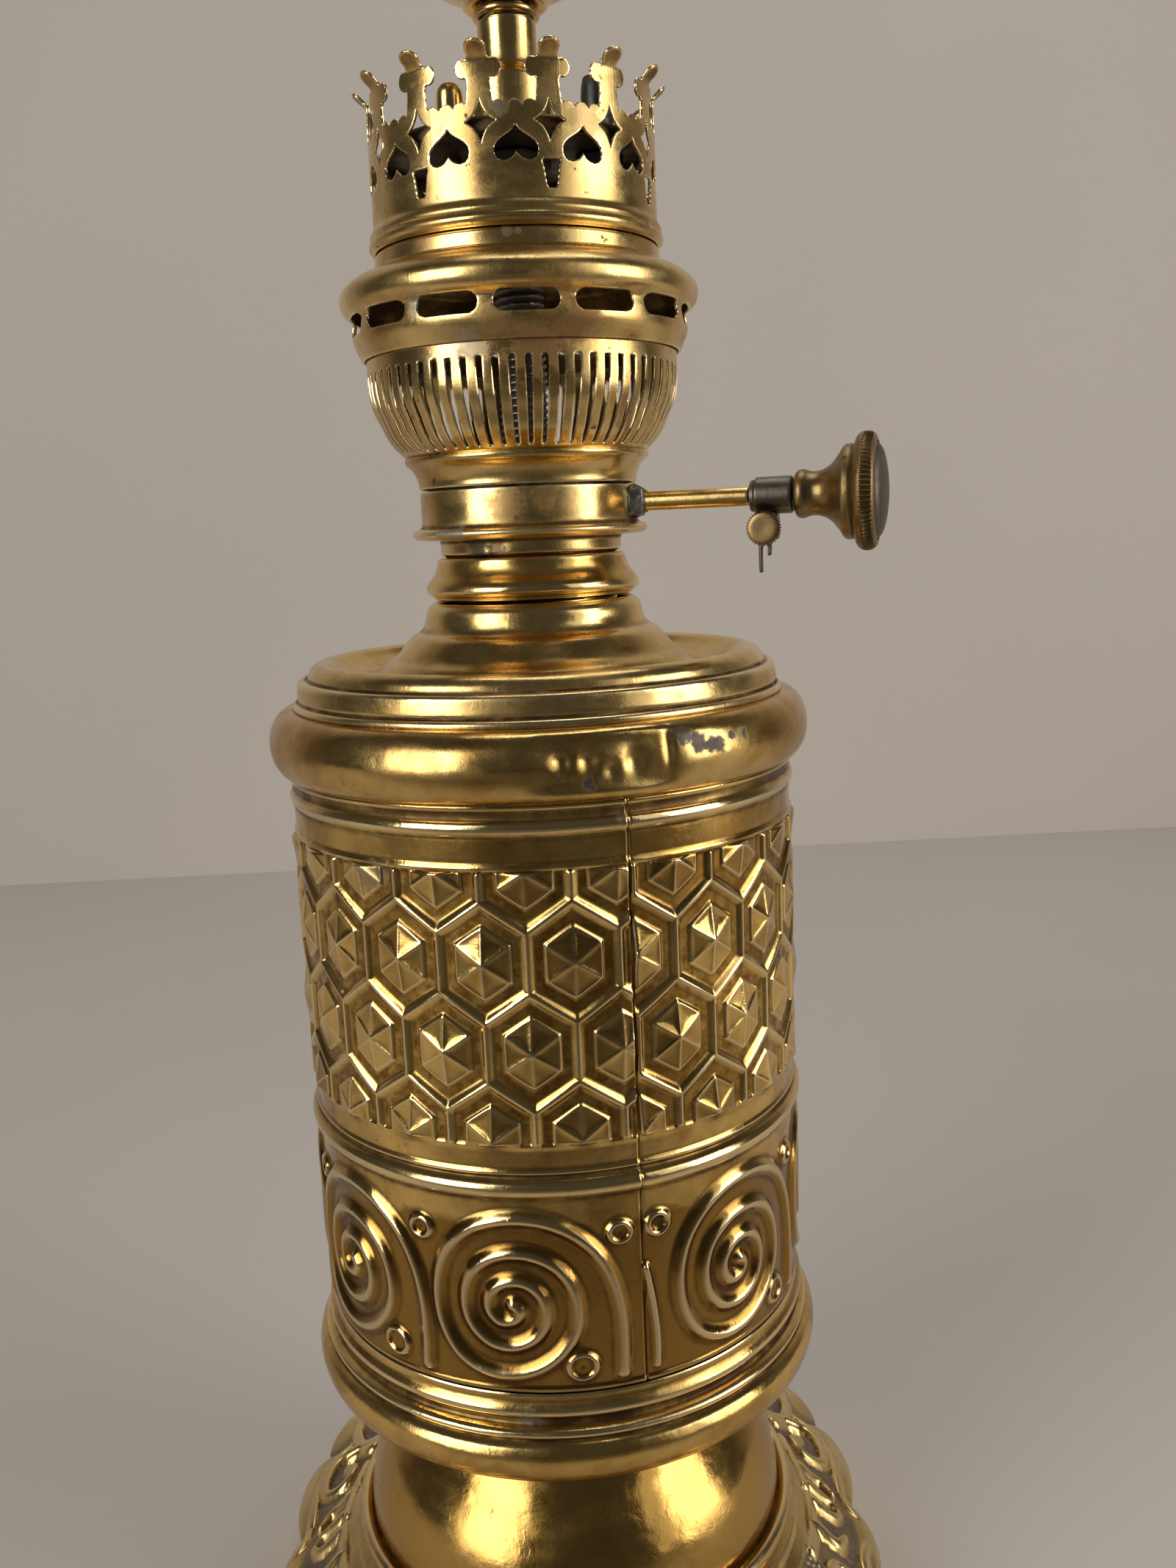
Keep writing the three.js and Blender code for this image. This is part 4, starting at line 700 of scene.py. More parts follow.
def foot_mesh():
    cols, rows = 1152, 84
    a = once_round(cols)
    edge = foot_edge(a)
    share = np.linspace(0, 1, rows)[:, None]
    r = FOOT_TOP + 0.6 + (edge - FOOT_TOP - 0.6) * share
    # The slope: a step at the ring, a hollow flank and a rounded rim
    height = np.interp(share, [0, 0.03, 0.06, 0.13, 0.17, 0.3, 0.45, 0.6, 0.85, 1.0],
                       [30.6, 30.3, 28.6, 27.2, 25.4, 22.4, 18.9, 16.0, 11.6, 8.2])
    x, y = r * np.cos(a), r * np.sin(a)
    turned_by = (a - 45 * DEG) % (90 * DEG)
    folded = np.minimum(turned_by, 90 * DEG - turned_by)
    u, v = r * np.cos(folded), r * np.sin(folded)
    relief = foot_relief(u, v)
    fade = unit((share - 0.13) / 0.06) * unit((1 - share) / 0.05)
    pods = 1.5 * unit((share - 0.72) / 0.16) * foot_lobes(a)
    # Hatching in two patches beside the stem, and a grain everywhere
    patch = np.maximum(*(unit(1.6 - np.hypot(u - pu, v - pv) / size)
                         for pu, pv, size in ((55, 20, 4), (66, 9.5, 3))))
    hatch = 0.2 * patch * (np.sin(x * 4.2 + y * 1.5) + np.sin(y * 4.2 - x * 1.5))
    hatch = hatch + 0.09 * (np.sin(x * 2.9 + 2 * np.sin(y * 1.3)) + np.sin(y * 3.3 + 2 * np.sin(x * 1.1)))
    ground = unit(1 - relief / 0.5)
    raised = np.maximum(relief, pods)
    z = np.minimum(height + (raised + hatch * ground * (share < 0.72)) * fade, FOOT_HEIGHT - 0.2)
    # The raised carving takes the pale worn colour, partly a painted highlight, and the ground is darker
    form = np.where(share < 0.15, 0.03, 0.12 - 0.2 * unit(raised / 1.3))
    top = around(r, a, z)
    # Rim down to the ground, then inside up to the top and out to the ring
    rim = [(0.0, 8.0), (-0.02, 6.5), (-0.05, 3.5), (-0.3, 1.0), (-1.2, 0.0), (-3.0, 0.0), (-3.4, 1.0),
           (-FOOT_WALL, 5.0)]
    rings = [*top] + [around(edge + out, a, level) for out, level in rim]
    for share_in, level in ((0.85, 8.2), (0.5, 14.5), (0.2, 21.5), (0.0, 25.6)):
        rings.append(around(FOOT_TOP - 3.2 + (edge - FOOT_WALL - FOOT_TOP + 3.2) * share_in, a, level))
    for radius, level in ((ROD_HOLE, 27.8), (ROD_HOLE, 31.0), (44.0, 31.0), (50.6, 31.0), (51.3, 30.9)):
        rings.append(around(radius, a, level))
    below = np.full((len(rings) - rows) * cols, 0.03)
    return closed_rings(rings, np.concatenate([np.broadcast_to(form, (rows, cols)).ravel(), below]))


build("foot_casting", foot_mesh(), "base", cast, ["foot"], crease=50)

# Pedestal, moulding, roll

# The dome is broad and low, so that the moulding's roll hides its top
pedestal = spun(
    [(44, 31.4, 1), (50.2, 31.4, 1), (51.4, 32.4), (51.5, 33.8), (50.9, 35.1), (49.9, 35.6), (49.0, 35.2, 1),
     (48.2, 34.9, 1), (48.2, 37.5), (47.7, 42.0), (46.3, 46.8), (43.9, 51.8), (40.7, 56.2), (38.3, 59.4),
     (36.8, 62.4), (36.3, 66.6, 1), (30, 66.6, 1), (4.4, 66.6)], 256)
build("ball_spun", pedestal, "base", lower, ["ball_pedestal"])

# The roll over the dome, a groove, a bead, a flat groove and the bead that the shell stands on
moulding = spun(
    [(35.2, 66.9, 1), (36.2, 66.9, 1), (36.3, 68.8), (37.4, 71.4), (40.4, 73.4), (45, 74.1), (50.6, 74.0),
     (53.9, 74.6), (56.0, 76.3), (56.9, 78.8), (56.9, 81.2), (55.9, 83.2), (54.5, 84.0, 1), (54.9, 84.4),
     (55.3, 85.0), (55.2, 85.7), (54.4, 86.2), (53.5, 86.5, 1), (53.2, 87.1), (53.2, 88.0, 1), (53.9, 88.4),
     (54.3, 89.2), (54.1, 90.2), (53.4, 91.0, 1), (53.2, 91.8), (53.1, 92.95)], 256)
build("moulding_spun", moulding, "base", lower, ["base_moulding"])

# The body's floor sits in the moulding's neck
body_floor = turned(
    [(4.4, 68.1, 1), (34.6, 68.1, 1), (35.0, 68.7), (34.6, 69.3, 1), (4.4, 69.3, 1), (4.4, 68.2)], 96, 0.4)
build("body_floor_disc", body_floor, "base", aged, ["body_floor"])


def dented_roll():
    t = np.arange(-118, 119, 4) * DEG
    outer = np.stack([52.2 + 4.8 * np.cos(t), 216.8 + 6.9 * np.sin(t)], 1)
    verts, faces, form = revolve(sheet_outline(outer, 0.8, step=0.3), 720)
    angle = np.arctan2(verts[:, 0], -verts[:, 1]) / DEG
    r, z = np.hypot(verts[:, 0], verts[:, 1]), verts[:, 2]
    face = unit((r - 51) / 4)

    def dent(place, level, wide, high, deep, power=2):
        return deep * np.exp(-(np.abs((angle - place) / wide) ** power) - np.abs((z - level) / high) ** power)

    # A flattened place with four hollows and a crease at its right end
    press = dent(11.8, 217.4, 13.2, 4.6, 1.5, 6)
    for small in ((3.6, 218.0, 1.7, 1.8, 0.85), (8.6, 217.8, 1.9, 2.0, 1.0), (12.9, 216.2, 1.5, 1.6, 0.6),
                  (17.4, 217.4, 2.1, 2.3, 1.0), (24.2, 218.6, 0.8, 3.2, 0.55), (31, 219.6, 3.2, 1.4, 0.35)):
        press = press + dent(*small)
    verts[:, :2] *= (1 - press * face / np.maximum(r, 1))[:, None]
    return verts, faces, form


build("shoulder_roll_spun", dented_roll(), "base", rolled, ["shoulder_roll"])

# Embossed body

SHELL_R, SHELL_BASE, SHELL_TOP, SEAM, TOP_ROLL = 53.0, 93.3, 210.4, 16.2, 218.0
SHELL_ARC = DEG * SHELL_R
RING_RISE, RING_HALF = 0.95, 1.25
SPIRALS = [-56.1, -13.0, 39.6, 85.5, 131.0, 176.5, 221.5, 264.0]


def spiral_line():
    """A spiral from its tail at the foot of the band inwards, round its centre, in millimetres."""
    return catmull([
        (22.4, -14.2), (22.6, -7), (22.2, 0), (20.2, 7.5), (16, 14), (9, 18.3), (1.5, 19.2), (-6, 17),
        (-11.5, 11.5), (-13.9, 4), (-13.2, -4), (-9.5, -10.3), (-3, -13.3), (4, -12.9), (10, -9.3),
        (13.6, -3.5), (13.6, 3.2), (10.6, 8.8), (5.2, 11.8), (-1, 11.6), (-5.9, 8.3), (-8.0, 3), (-7.2, -2.6),
        (-3.6, -6.5), (1.4, -7.4), (5.8, -5.2), (7.8, -1), (7.0, 3.4), (3.8, 6.1), (-0.2, 5.9), (-2.9, 3.4),
        (-3.1, 0.2), (-1.2, -2.0), (1.4, -1.8), (2.6, 0.0), (1.6, 1.4)], 0.5)


def nearest(x, y, line):
    """Distance to the nearest of a line's points."""
    best = np.full(x.shape, FAR_AWAY**2)
    for px, py in line:
        best = np.minimum(best, (x - px) ** 2 + (y - py) ** 2)
    return np.sqrt(best)


def round_to(angle, place):
    """Degrees from a place, from -180 to 180."""
    return (angle - place + 180) % 360 - 180


def hexagons(away, zr):
    """Relief of the band of hexagons by degrees left of the seam and height from the top roll, its dull
    ground and its thin lines of painted highlight."""
    pitch, row, inner = 18.3, 17.4, 5.15
    width = pitch * DEG * SHELL_R
    tall = row / (width * math.sqrt(3) / 2)
    best, crease = np.full(away.shape, FAR_AWAY), np.zeros(away.shape)
    for k in range(4):
        first = 2.5 if k % 2 == 0 else 11.6
        x = ((away - first + pitch / 2) % pitch - pitch / 2) * DEG * SHELL_R
        y = (zr + 20.0 + k * row) / tall
        d = np.maximum(np.abs(x), np.abs(x) / 2 + np.abs(y) * math.sqrt(3) / 2)
        off = np.hypot(x, y) * np.abs(np.sin(fold(np.arctan2(y, x) / DEG, 6, 30) * DEG))
        nearer = d < best
        best = np.where(nearer, d, best)
        crease = np.where(nearer, off, crease)
    ridge = 0.85 * swell(width / 2 - best, 1.4)
    depth = np.maximum(inner - best, 0)
    dished = 0.24 * (1 - np.exp(-crease / 0.42)) * (1 - np.exp(-depth / 0.35))
    pyramid = 0.5 * unit((inner + 0.3 - best) / 0.35) + 0.95 * depth / inner - dished
    ground = unit((best - inner - 0.25) / 0.3) * unit((width / 2 - 1.25 - best) / 0.3)
    # Painted highlight along the pyramids' creases and the outlines of their bases
    thin = np.exp(-((crease / 0.16) ** 2)) * unit(depth / 0.3)
    thin = thin + np.exp(-(((best - inner + 0.05) / 0.16) ** 2))
    return np.maximum(ridge, pyramid), ground, np.minimum(thin, 1)


def scrolls(angle, zr):
    """Relief of the spirals and rings in the lower band."""
    spiral = spiral_line()
    relief = np.zeros(zr.shape)
    for centre in SPIRALS:
        x_all = round_to(angle[0], centre) * SHELL_ARC
        pick = np.where((x_all > -18) & (x_all < 27))[0]
        x = np.broadcast_to(x_all[pick], (len(zr), len(pick)))
        y = zr[:, pick] + 107.3
        bead = 1.3 * swell(nearest(x, y, spiral), 2.45)
        for rx, ry, size in ((24.5 * SHELL_ARC, 15.3, 2.1), (15.6 * SHELL_ARC, -12.0, 2.7)):
            d = np.hypot(x - rx, (y - ry) * 1.08)
            bead = np.maximum(bead, RING_RISE * swell(d - size, RING_HALF))
            bead = np.maximum(bead, 0.35 * unit((size - 0.7 - d) / 0.25) - 0.2 * swell(d, 0.7))
        relief[:, pick] = np.maximum(relief[:, pick], bead)
    # What the seam cut off shows on its right: a ring, and a tail beside it
    x = round_to(angle, SEAM) * SHELL_ARC
    d = np.hypot(x - 3.7 * SHELL_ARC, zr + 91.7)
    relief = np.maximum(relief, RING_RISE * swell(d - 2.1, RING_HALF) * (x > 0))
    tail = catmull([(0.5, -100.5), (1.4, -105), (2.2, -111), (2.5, -117), (2.4, -121.5)], 0.5)
    return np.maximum(relief, swell(nearest(x, zr, tail), 1.5) * (x > 0))


def shell_height(angle, z):
    """Relief of the embossed sheet over its plain radius, in millimetres, by angle in degrees and CAD
    height, with its dull ground and its thin lines of painted highlight."""
    zr = z - TOP_ROLL

    def flat(low, high, rise, soft_low, soft_high):
        return rise * unit((zr - low) / soft_low) * unit((high - zr) / soft_high)

    def bead(h, level, rise, half):
        return np.maximum(h, rise * bump_of(zr - level, half))

    h = bead(np.zeros(angle.shape), -8.3, 0.7, 0.9)
    h = np.where((zr < -8.9) & (zr > -10.6), -0.25, h)
    h = bead(h, -12.1, 0.95, 1.6) + flat(-18.6, -13.6, 0.18, 0.3, 0.4)
    h = bead(bead(h, -19.4, 0.55, 0.75), -73.2, 0.35, 0.8) + flat(-77.9, -73.6, 0.12, 0.3, 0.3)
    h = bead(bead(bead(h, -78.5, 0.6, 0.65), -81.8, 1.6, 2.1), -124.2, 0.3, 0.6)
    away = (SEAM - angle) % 360
    near = round_to(angle, SEAM)
    dull, thin = np.zeros(h.shape), np.zeros(h.shape)

    def band(low, high):
        rows = np.where((zr[:, 0] < high) & (zr[:, 0] > low))[0]
        return slice(rows.min(), rows.max() + 1)

    part = band(-72.9, -20.0)
    relief, dull[part], thin[part] = hexagons(away[part], zr[part])
    tucked = np.clip(near[part] / 1.1, 0.25, 1)
    h[part] = relief * np.where(near[part] > 0, tucked, 1)
    part = band(-123.5, -84.5)
    relief = scrolls(angle[part], zr[part])
    h[part] = np.maximum(h[part], relief)
    dull[part] = 0.12 * unit(1 - relief / 0.25)
    # Lap of the seam: the left sheet's edge stands over the right one, with a dark line between
    h = h + np.where(near > 0, 0, 0.22 * np.exp(near / 0.5)) * (np.abs(near) < 5)
    h = h - 0.5 * np.exp(-(((near - 0.2) / 0.17) ** 2))
    return h, dull, thin


def embossed_shell():
    cols = 1440
    # The rows lie closest over the hexagons
    steps = ((SHELL_BASE, 145.5, 0.3), (145.5, 198.2, 0.25), (198.2, SHELL_TOP, 0.36))
    z = np.concatenate([np.arange(*s) for s in steps])
    angle = once_round(cols, 360)
    grid_a, grid_z = (g.copy() for g in np.broadcast_arrays(angle[None, :], z[:, None]))
    h, dull, thin = shell_height(grid_a, grid_z)
    h[1:-1] = (h[:-2] + 6 * h[1:-1] + h[2:]) / 8
    h = (np.roll(h, 1, 1) + 6 * h + np.roll(h, -1, 1)) / 8
    # Form: how far the relief lies under a calmer one, with the thin lines of painted highlight made paler
    calm = h.copy()
    for _ in range(18):
        calm = soften(soften(calm.T, 1, True).T, 1)
    form = (calm - h) * 0.5 - 0.1 * thin
    a = grid_a * DEG
    outer = from_front(SHELL_R - 0.15 + h + unevenness(a, grid_z), a, grid_z)
    inner = [from_front(SHELL_R - 0.9, a[0], level)
             for level in np.linspace(SHELL_TOP - 0.2, SHELL_BASE, 12)]
    rest = np.zeros(len(inner) * cols)
    form, dull = (np.concatenate([values.ravel(), rest]) for values in (form, dull))
    return closed_rings([*outer, *inner], form), dull


made, dull = embossed_shell()
build("body_shell_embossed", made, "base", embossed, ["body_shell"], crease=60, dull=dull)

# Font

TANK_BOTTOM, TANK_TOP, TANK_WALL = 111.3, 228.8, 46.1
# The tank's wall goes up behind the cover's lip, and a soldered seam closes its bottom
tank = spun(
    [(0.4, TANK_BOTTOM), (36, TANK_BOTTOM), (41.4, TANK_BOTTOM), (44.9, TANK_BOTTOM + 1.5),
     (46.3, TANK_BOTTOM + 5), (46.3, TANK_BOTTOM + 7.4), (46.4, TANK_BOTTOM + 8.0),
     (46.35, TANK_BOTTOM + 8.8, 1), (TANK_WALL, TANK_BOTTOM + 9.2), (TANK_WALL, TANK_BOTTOM + 60),
     (TANK_WALL, TANK_TOP - 4), (TANK_WALL, TANK_TOP)], 192)
build("font_tank_soldered", tank, "font", tank_metal, ["font_tank"])

cover_verts, cover_faces, cover_form = spun(
    [(50.6, 223.4, 1), (51.5, 223.6), (51.75, 224.3), (51.4, 225.0), (50.7, 225.2, 1), (50.5, 225.5, 1),
     (50.7, 226.0, 1), (50.4, 228.9, 1), (50.0, 229.5), (49.2, 229.7, 1), (48.5, 229.6, 1), (48.2, 230.2),
     (47.7, 231.4), (46.7, 232.4), (45.3, 232.9), (44.1, 232.6), (42.4, 231.0), (40.0, 229.4), (37.0, 228.8),
     (34.2, 229.6), (31.5, 231.9, 1), (29.5, 233.2), (27.9, 235.1), (26.2, 237.0), (23.9, 238.4),
     (23.0, 240.2), (22.6, 242.3), (21.9, 243.3), (20.9, 244.1)], 256, 0.7, 3, 0.25)
# The cover's form is made nearly twice as strong, so its grooves are darker and its ridges paler than on the
# other pieces
build("font_cover_spun", (cover_verts, cover_faces, 1.8 * cover_form), "font", satin, ["font_cover"])

collar = turned(
    [(18.7, 244.6, 1), (21.0, 244.6, 1), (21.1, 245.2), (22.1, 245.8), (22.5, 246.7), (22.2, 247.7, 1),
     (21.5, 248.6), (20.6, 249.8), (20.0, 251.2), (19.7, 252.6), (19.5, 253.1, 1), (18.7, 253.1, 1),
     (18.7, 244.7)], step=0.35, fine=0.4)
build("font_collar_turned", collar, "font", polished, ["font_collar"])

# Burner

BURNER_TURN = -19.0
# How many there are, and where in degrees the first one is
SLITS, SLIT_PHASE = 64, 2.1
SLOTS, SLOT_PHASE = 14, 2.3
TABS, TAB_PHASE, HEART_PHASE = 14, 14.4, 1.5
# Thickness of the pierced sheet in the basket and the gallery
SHEET = 0.62


def moved_out(verts, distance):
    """Moves turned points away from their axis."""
    r = np.hypot(verts[:, 0], verts[:, 1])
    verts[:, :2] *= (1 + distance / np.maximum(r, 1))[:, None]


def burner_cup():
    verts, faces, form = lined(
        [(17.9, 243.6, 1), (17.9, 253.4, 1), (18.9, 253.7, 1), (18.9, 256.5, 1), (23.6, 256.9, 1),
         (24.7, 257.9), (24.0, 258.9), (22.9, 259.1, 1), (22.6, 259.6), (22.55, 262), (22.5, 265),
         (22.5, 266.6)],
        [(21.65, 266.6), (21.65, 260.0), (21.0, 258.95), (5.4, 258.95), (5.4, 257.7), (17.2, 257.7),
         (17.2, 243.6)])
    # Thread on the skirt
    r = np.hypot(verts[:, 0], verts[:, 1])
    a = np.arctan2(verts[:, 0], -verts[:, 1])
    skirt = (r > 17.6) & (verts[:, 2] < 253.2)
    moved_out(verts, 0.22 * (np.cos(TURN * (verts[:, 2] / 1.8 - a / TURN)) - 1) * skirt)
    return verts, faces, form


build("burner_cup_spun", burner_cup(), "burner", burner_brass, ["burner_cup"])


def air_basket():
    line = resample(
        curve([(22.4, 267.1), (22.35, 268.2), (22.7, 269.6), (23.6, 271.2), (24.3, 271.9, 1), (24.9, 272.4),
               (24.9, 273.1), (24.5, 273.5, 1), (26.0, 274.9), (27.9, 277.2), (29.3, 280.2), (30.6, 283.1),
               (31.2, 286), (31.35, 289), (31.35, 292.8)]), 0.22)
    place, far, rows, r, z = along(line, 0.25, 0.25)
    x = fold(once_round(15 * SLITS, 360), SLITS, SLIT_PHASE)[None, :] * DEG * r
    low, high = 274.3, 290.0
    # The slits narrow towards the bottom
    half = 0.36 + 0.28 * unit((z - low) / (high - low))
    hole = np.hypot(x, z - np.clip(z, low + 0.4, high - 0.66)) - half
    ends = np.minimum(rows, far[-1] - rows)[:, None]
    return pierced(np.minimum(hole, ends), rows, place, SHEET, 0.2)


build("air_basket_pierced", air_basket(), "burner", burner_brass, ["air_basket"])


def gallery():
    line = resample(
        curve([(32.1, 292.6), (32.6, 293.7), (33.0, 294.6), (33.55, 296), (33.8, 298.2), (33.6, 300.4),
               (34.6, 301.3, 1), (35.5, 302.1), (35.95, 303.6), (35.7, 305.1), (34.2, 306.7), (31.9, 308.0),
               (29.2, 308.9), (28.45, 309.5, 1), (28.35, 312.3, 1), (27.5, 312.6, 1), (27.4, 317)]), 0.22)
    place, far, rows, r, z = along(soften(line, 2), 0.25, 0.24)
    # Oval slots in the drum, by their level, length and half width
    drum, level, length, half = 33.7, 299.1, 12.2, 1.85
    x = fold(once_round(1080, 360), SLOTS, SLOT_PHASE)[None, :] * DEG * drum
    reach = length / 2 - half
    hole = np.hypot(x - np.clip(x, -reach, reach), z - level) - half
    hole = np.where(r > 30, hole, FAR_AWAY)
    ends = np.minimum(rows, far[-1] - rows)[:, None]
    return pierced(np.minimum(hole, ends), rows, place, SHEET, 0.22)


build("gallery_pierced", gallery(), "burner", burner_brass, ["gallery_ring"])

# Crown

CROWN_R, CROWN_TOP = 28.3, 334.2
HEART_Z, STAR_Z, KEY_Z = 323.9, 327.0, 319.2


def heart_outline():
    w, h = 4.0, 5.9
    side = [(0.16 * w, 0.72 * h), (1.0 * w, 0.66 * h), (1.0 * w, 0.3 * h), (1.0 * w, -0.1 * h),
            (0.28 * w, -0.12 * h), (0, 0.26 * h)]
    left = [(-a, b) for a, b in side]
    return bezier([(0, h), *left, *side[4::-1], (0, h)])


def star_outline():
    """A star of four points with hollow sides."""
    w, h, k = 2.85, 7.2, 0.24
    points = [(0, h), (-k * w, h * (0.5 + k / 2)), (-w, h / 2), (-k * w, h * (0.5 - k / 2)), (0, 0),
              (k * w, h * (0.5 - k / 2)), (w, h / 2), (k * w, h * (0.5 + k / 2))]
    star = []
    for i in range(0, 8, 2):
        a, b, c = (np.array(points[n % 8]) for n in (i, i + 1, i + 2))
        t = np.linspace(0, 1, 12, endpoint=False)[:, None]
        star.append(a * (1 - t) ** 2 + 2 * b * t * (1 - t) + c * t * t)
    return np.concatenate(star)


def tab_outline():
    """A tab with a round head and a rounded tip over it."""
    arcs = [(2.8, 1.5, 5.3, 1.7, range(-80, 81, 20)), (0, 1.95, 8.7, 1.9, range(0, 91, 15))]
    head, tip = ([(x + rx * math.cos(t * DEG), z + rz * math.sin(t * DEG)) for t in turns]
                 for x, rx, z, rz, turns in arcs)
    tab = [(-2.75, -2.5), (2.75, -2.5), (2.35, 0.4), (2.1, 3.0), (2.35, 3.7), *head,
           (2.1, 6.9), (1.85, 7.4), (1.85, 8.0), *tip]
    return tab + [(-a, b) for a, b in tab[::-1]][1:-1]


def crown():
    line = resample(
        curve([(28.35, 312.9), (29.0, 313.6), (29.3, 314.3), (28.9, 315.0, 1), (28.75, 315.3), (29.0, 315.9),
               (28.7, 316.6), (28.25, 317.4), (28.15, 320), (28.15, 334.2), (28.15, 340.7), (28.45, 341.3),
               (29.2, 342.1), (31.3, 343.9)]), 0.2)
    place, far, rows, _, _ = along(line, 0.2, 0.17)
    # Distance along the profile stands for height, as the wall is upright
    z = CROWN_TOP + (rows - np.interp(CROWN_TOP, line[:, 1], far))[:, None]
    angle = once_round(80 * TABS, 360)
    places = (TABS, TAB_PHASE), (TABS, HEART_PHASE), (TABS / 2, TAB_PHASE)
    x_tab, x_heart, x_key = (fold(angle, count, phase)[None, :] * (DEG * CROWN_R) + 0 * z
                             for count, phase in places)
    z = z + 0 * x_tab
    key = [(-0.5, 0), (0.5, 0), (0.85, 0.5), (1.35, 3.9), (1.6, 4.3), (1.5, 4.7), (-1.5, 4.7), (-1.6, 4.3),
           (-1.35, 3.9), (-0.85, 0.5)]
    hole = to_polygon(x_heart, z - HEART_Z, heart_outline())
    hole = np.minimum(hole, to_polygon(x_tab, z - STAR_Z, star_outline()))
    hole = np.minimum(hole, to_polygon(x_key, z - KEY_Z, key) - 0.1)
    # Upper edge: three scallops between tabs
    half = math.pi * CROWN_R / TABS - 2.02
    pitch = 2 * half / 3
    u = (x_heart + half) % pitch - pitch / 2
    wall = CROWN_TOP - 0.95 + np.sqrt(np.maximum(1.55**2 - u**2, 0.01)) - 0.75 - z
    inside = np.maximum(np.minimum(wall, 5), -to_polygon(x_tab, z - CROWN_TOP, tab_outline()))
    inside = np.minimum(np.minimum(inside, hole), rows[:, None])
    inside[-1] = -1
    verts, faces, form = pierced(inside, rows, place, 0.6, 0.2)
    # The bent tips are made darker
    return verts, faces, form + 0.1 * unit((verts[:, 2] - 340) / 2)


build("crown_pierced", crown(), "crown_body", burner_brass, ["crown"])

# Wick raiser

RAISER_Z = 263.0
# The clamp's screw: its distance from the burner's axis and its height over the raiser's
SCREW_X, SCREW_Z = 49.95, 256.65 - RAISER_Z


def lengthwise(made):
    """A turned piece laid with its axis along +X of the burner, at the raiser's height."""
    v, f, form = made
    return np.stack([v[:, 2], v[:, 1], -v[:, 0]], 1), f, form


def on_raiser(name, made, body, material, replaced, crease=35):
    return build(name, made, body, material, replaced, crease, BURNER_TURN, (0, 0, RAISER_Z))


tube = turned([(1.5, 21.0, 1), (1.9, 21.0, 1), (1.9, 46.4, 1), (1.5, 46.4, 1), (1.5, 21.1)], 64)
on_raiser("spindle_tube_brass", lengthwise(tube), "burner", burner_brass, ["spindle_tube"])


def knob():
    v, f, form = turned(
        [(1.5, 55.7, 1), (3.9, 55.7), (4.6, 56.3), (4.75, 57.3), (4.4, 58.4), (4.25, 59.6), (4.6, 61.2),
         (5.6, 62.8), (7.4, 64.3), (9.0, 65.4), (9.25, 66.6, 1), (9.0, 67.1, 1), (9.6, 67.4), (10.7, 67.9),
         (11.35, 69.0), (11.3, 70.4), (10.6, 71.4), (9.7, 71.75, 1), (9.65, 71.3, 1), (9.65, 70.4, 1),
         (1.5, 70.4, 1), (1.5, 55.8)], 432, 0.2)
    # 72 grooves in the rim
    r = np.hypot(v[:, 0], v[:, 1])
    groove = np.cos(72 * np.arctan2(v[:, 0], v[:, 1]))
    on = unit((r - 10.2) / 0.5) * unit((v[:, 2] - 68.9) / 0.3)
    on = on * unit((71.2 - v[:, 2]) / 0.3)
    moved_out(v, 0.28 * (groove - 1) * on)
    return lengthwise((v, f, form + 0.12 * on * (groove < -0.2)))


on_raiser("knob_milled", knob(), "wick_raiser", aged, ["knob"])

face = on_axis(
    [(0.0, 70.7, 1), (9.25, 70.7, 1), (9.25, 71.1), (8.9, 71.9), (8.1, 72.5), (6.2, 73.1), (3.2, 73.55),
     (0.0, 73.7)], 128, 0.3)
on_raiser("knob_face_disc", lengthwise(face), "wick_raiser", steel, ["knob_face"])


def rounded_box(lo, hi, radius, steps=4):
    """A box with rounded edges as a closed grid round Z."""
    lo, hi = np.array(lo, float), np.array(hi, float)
    half = (hi - lo) / 2
    corners = ((1, 1, 0), (-1, 1, 90), (-1, -1, 180), (1, -1, 270))
    ring = [(cx, cy, t * DEG) for cx, cy, start in corners for t in np.linspace(start, start + 90, steps + 1)]
    bends = [90 * i / steps for i in range(steps + 1)]
    layers = [(t - 90, -1) for t in bends] + [(t, 1) for t in bends]
    verts = []
    for t, side in layers:
        level = side * (half[2] - radius) + radius * math.sin(t * DEG)
        out = radius * math.cos(t * DEG)
        for cx, cy, s in ring:
            x, y = cx * (half[0] - radius) + out * math.cos(s), cy * (half[1] - radius) + out * math.sin(s)
            verts.append((x, y, level))
    verts = np.array(verts + [(0, 0, -half[2]), (0, 0, half[2])]) + (hi + lo) / 2
    return verts, capped(len(layers), len(ring)), None


sleeve = merged(
    lengthwise(turned(
        [(1.55, 46.8, 1), (3.0, 46.8), (3.1, 47.1), (3.1, 47.7, 1), (3.65, 47.9, 1), (3.65, 54.9, 1),
         (3.3, 55.25, 1), (1.55, 55.25, 1), (1.55, 46.9)], 72)),
    rounded_box((47.7, -2.1, -8.6), (52.2, 2.1, -3.2), 0.45))
on_raiser("clamp_sleeve_steel", sleeve, "burner", steel, ["clamp_sleeve"])


def clamp_screw():
    v, f, form = on_axis(
        [(0, -5.5, 1), (2.6, -5.5), (3.2, -5.3), (3.5, -4.9), (3.5, -4.0), (3.2, -3.6, 1), (1.1, -3.55, 1),
         (1.1, 3.1, 1), (0, 3.2)], 216, 0.2)
    # 36 grooves in the head
    r = np.hypot(v[:, 0], v[:, 1])
    groove = np.cos(36 * np.arctan2(v[:, 0], v[:, 1]))
    moved_out(v, 0.22 * (groove - 1) * unit((r - 3.0) / 0.3))
    return np.stack([v[:, 0] + SCREW_X, v[:, 2], -v[:, 1] + SCREW_Z], 1), f, form


on_raiser("clamp_screw_knurled", clamp_screw(), "clamp", aged, ["clamp_screw"])


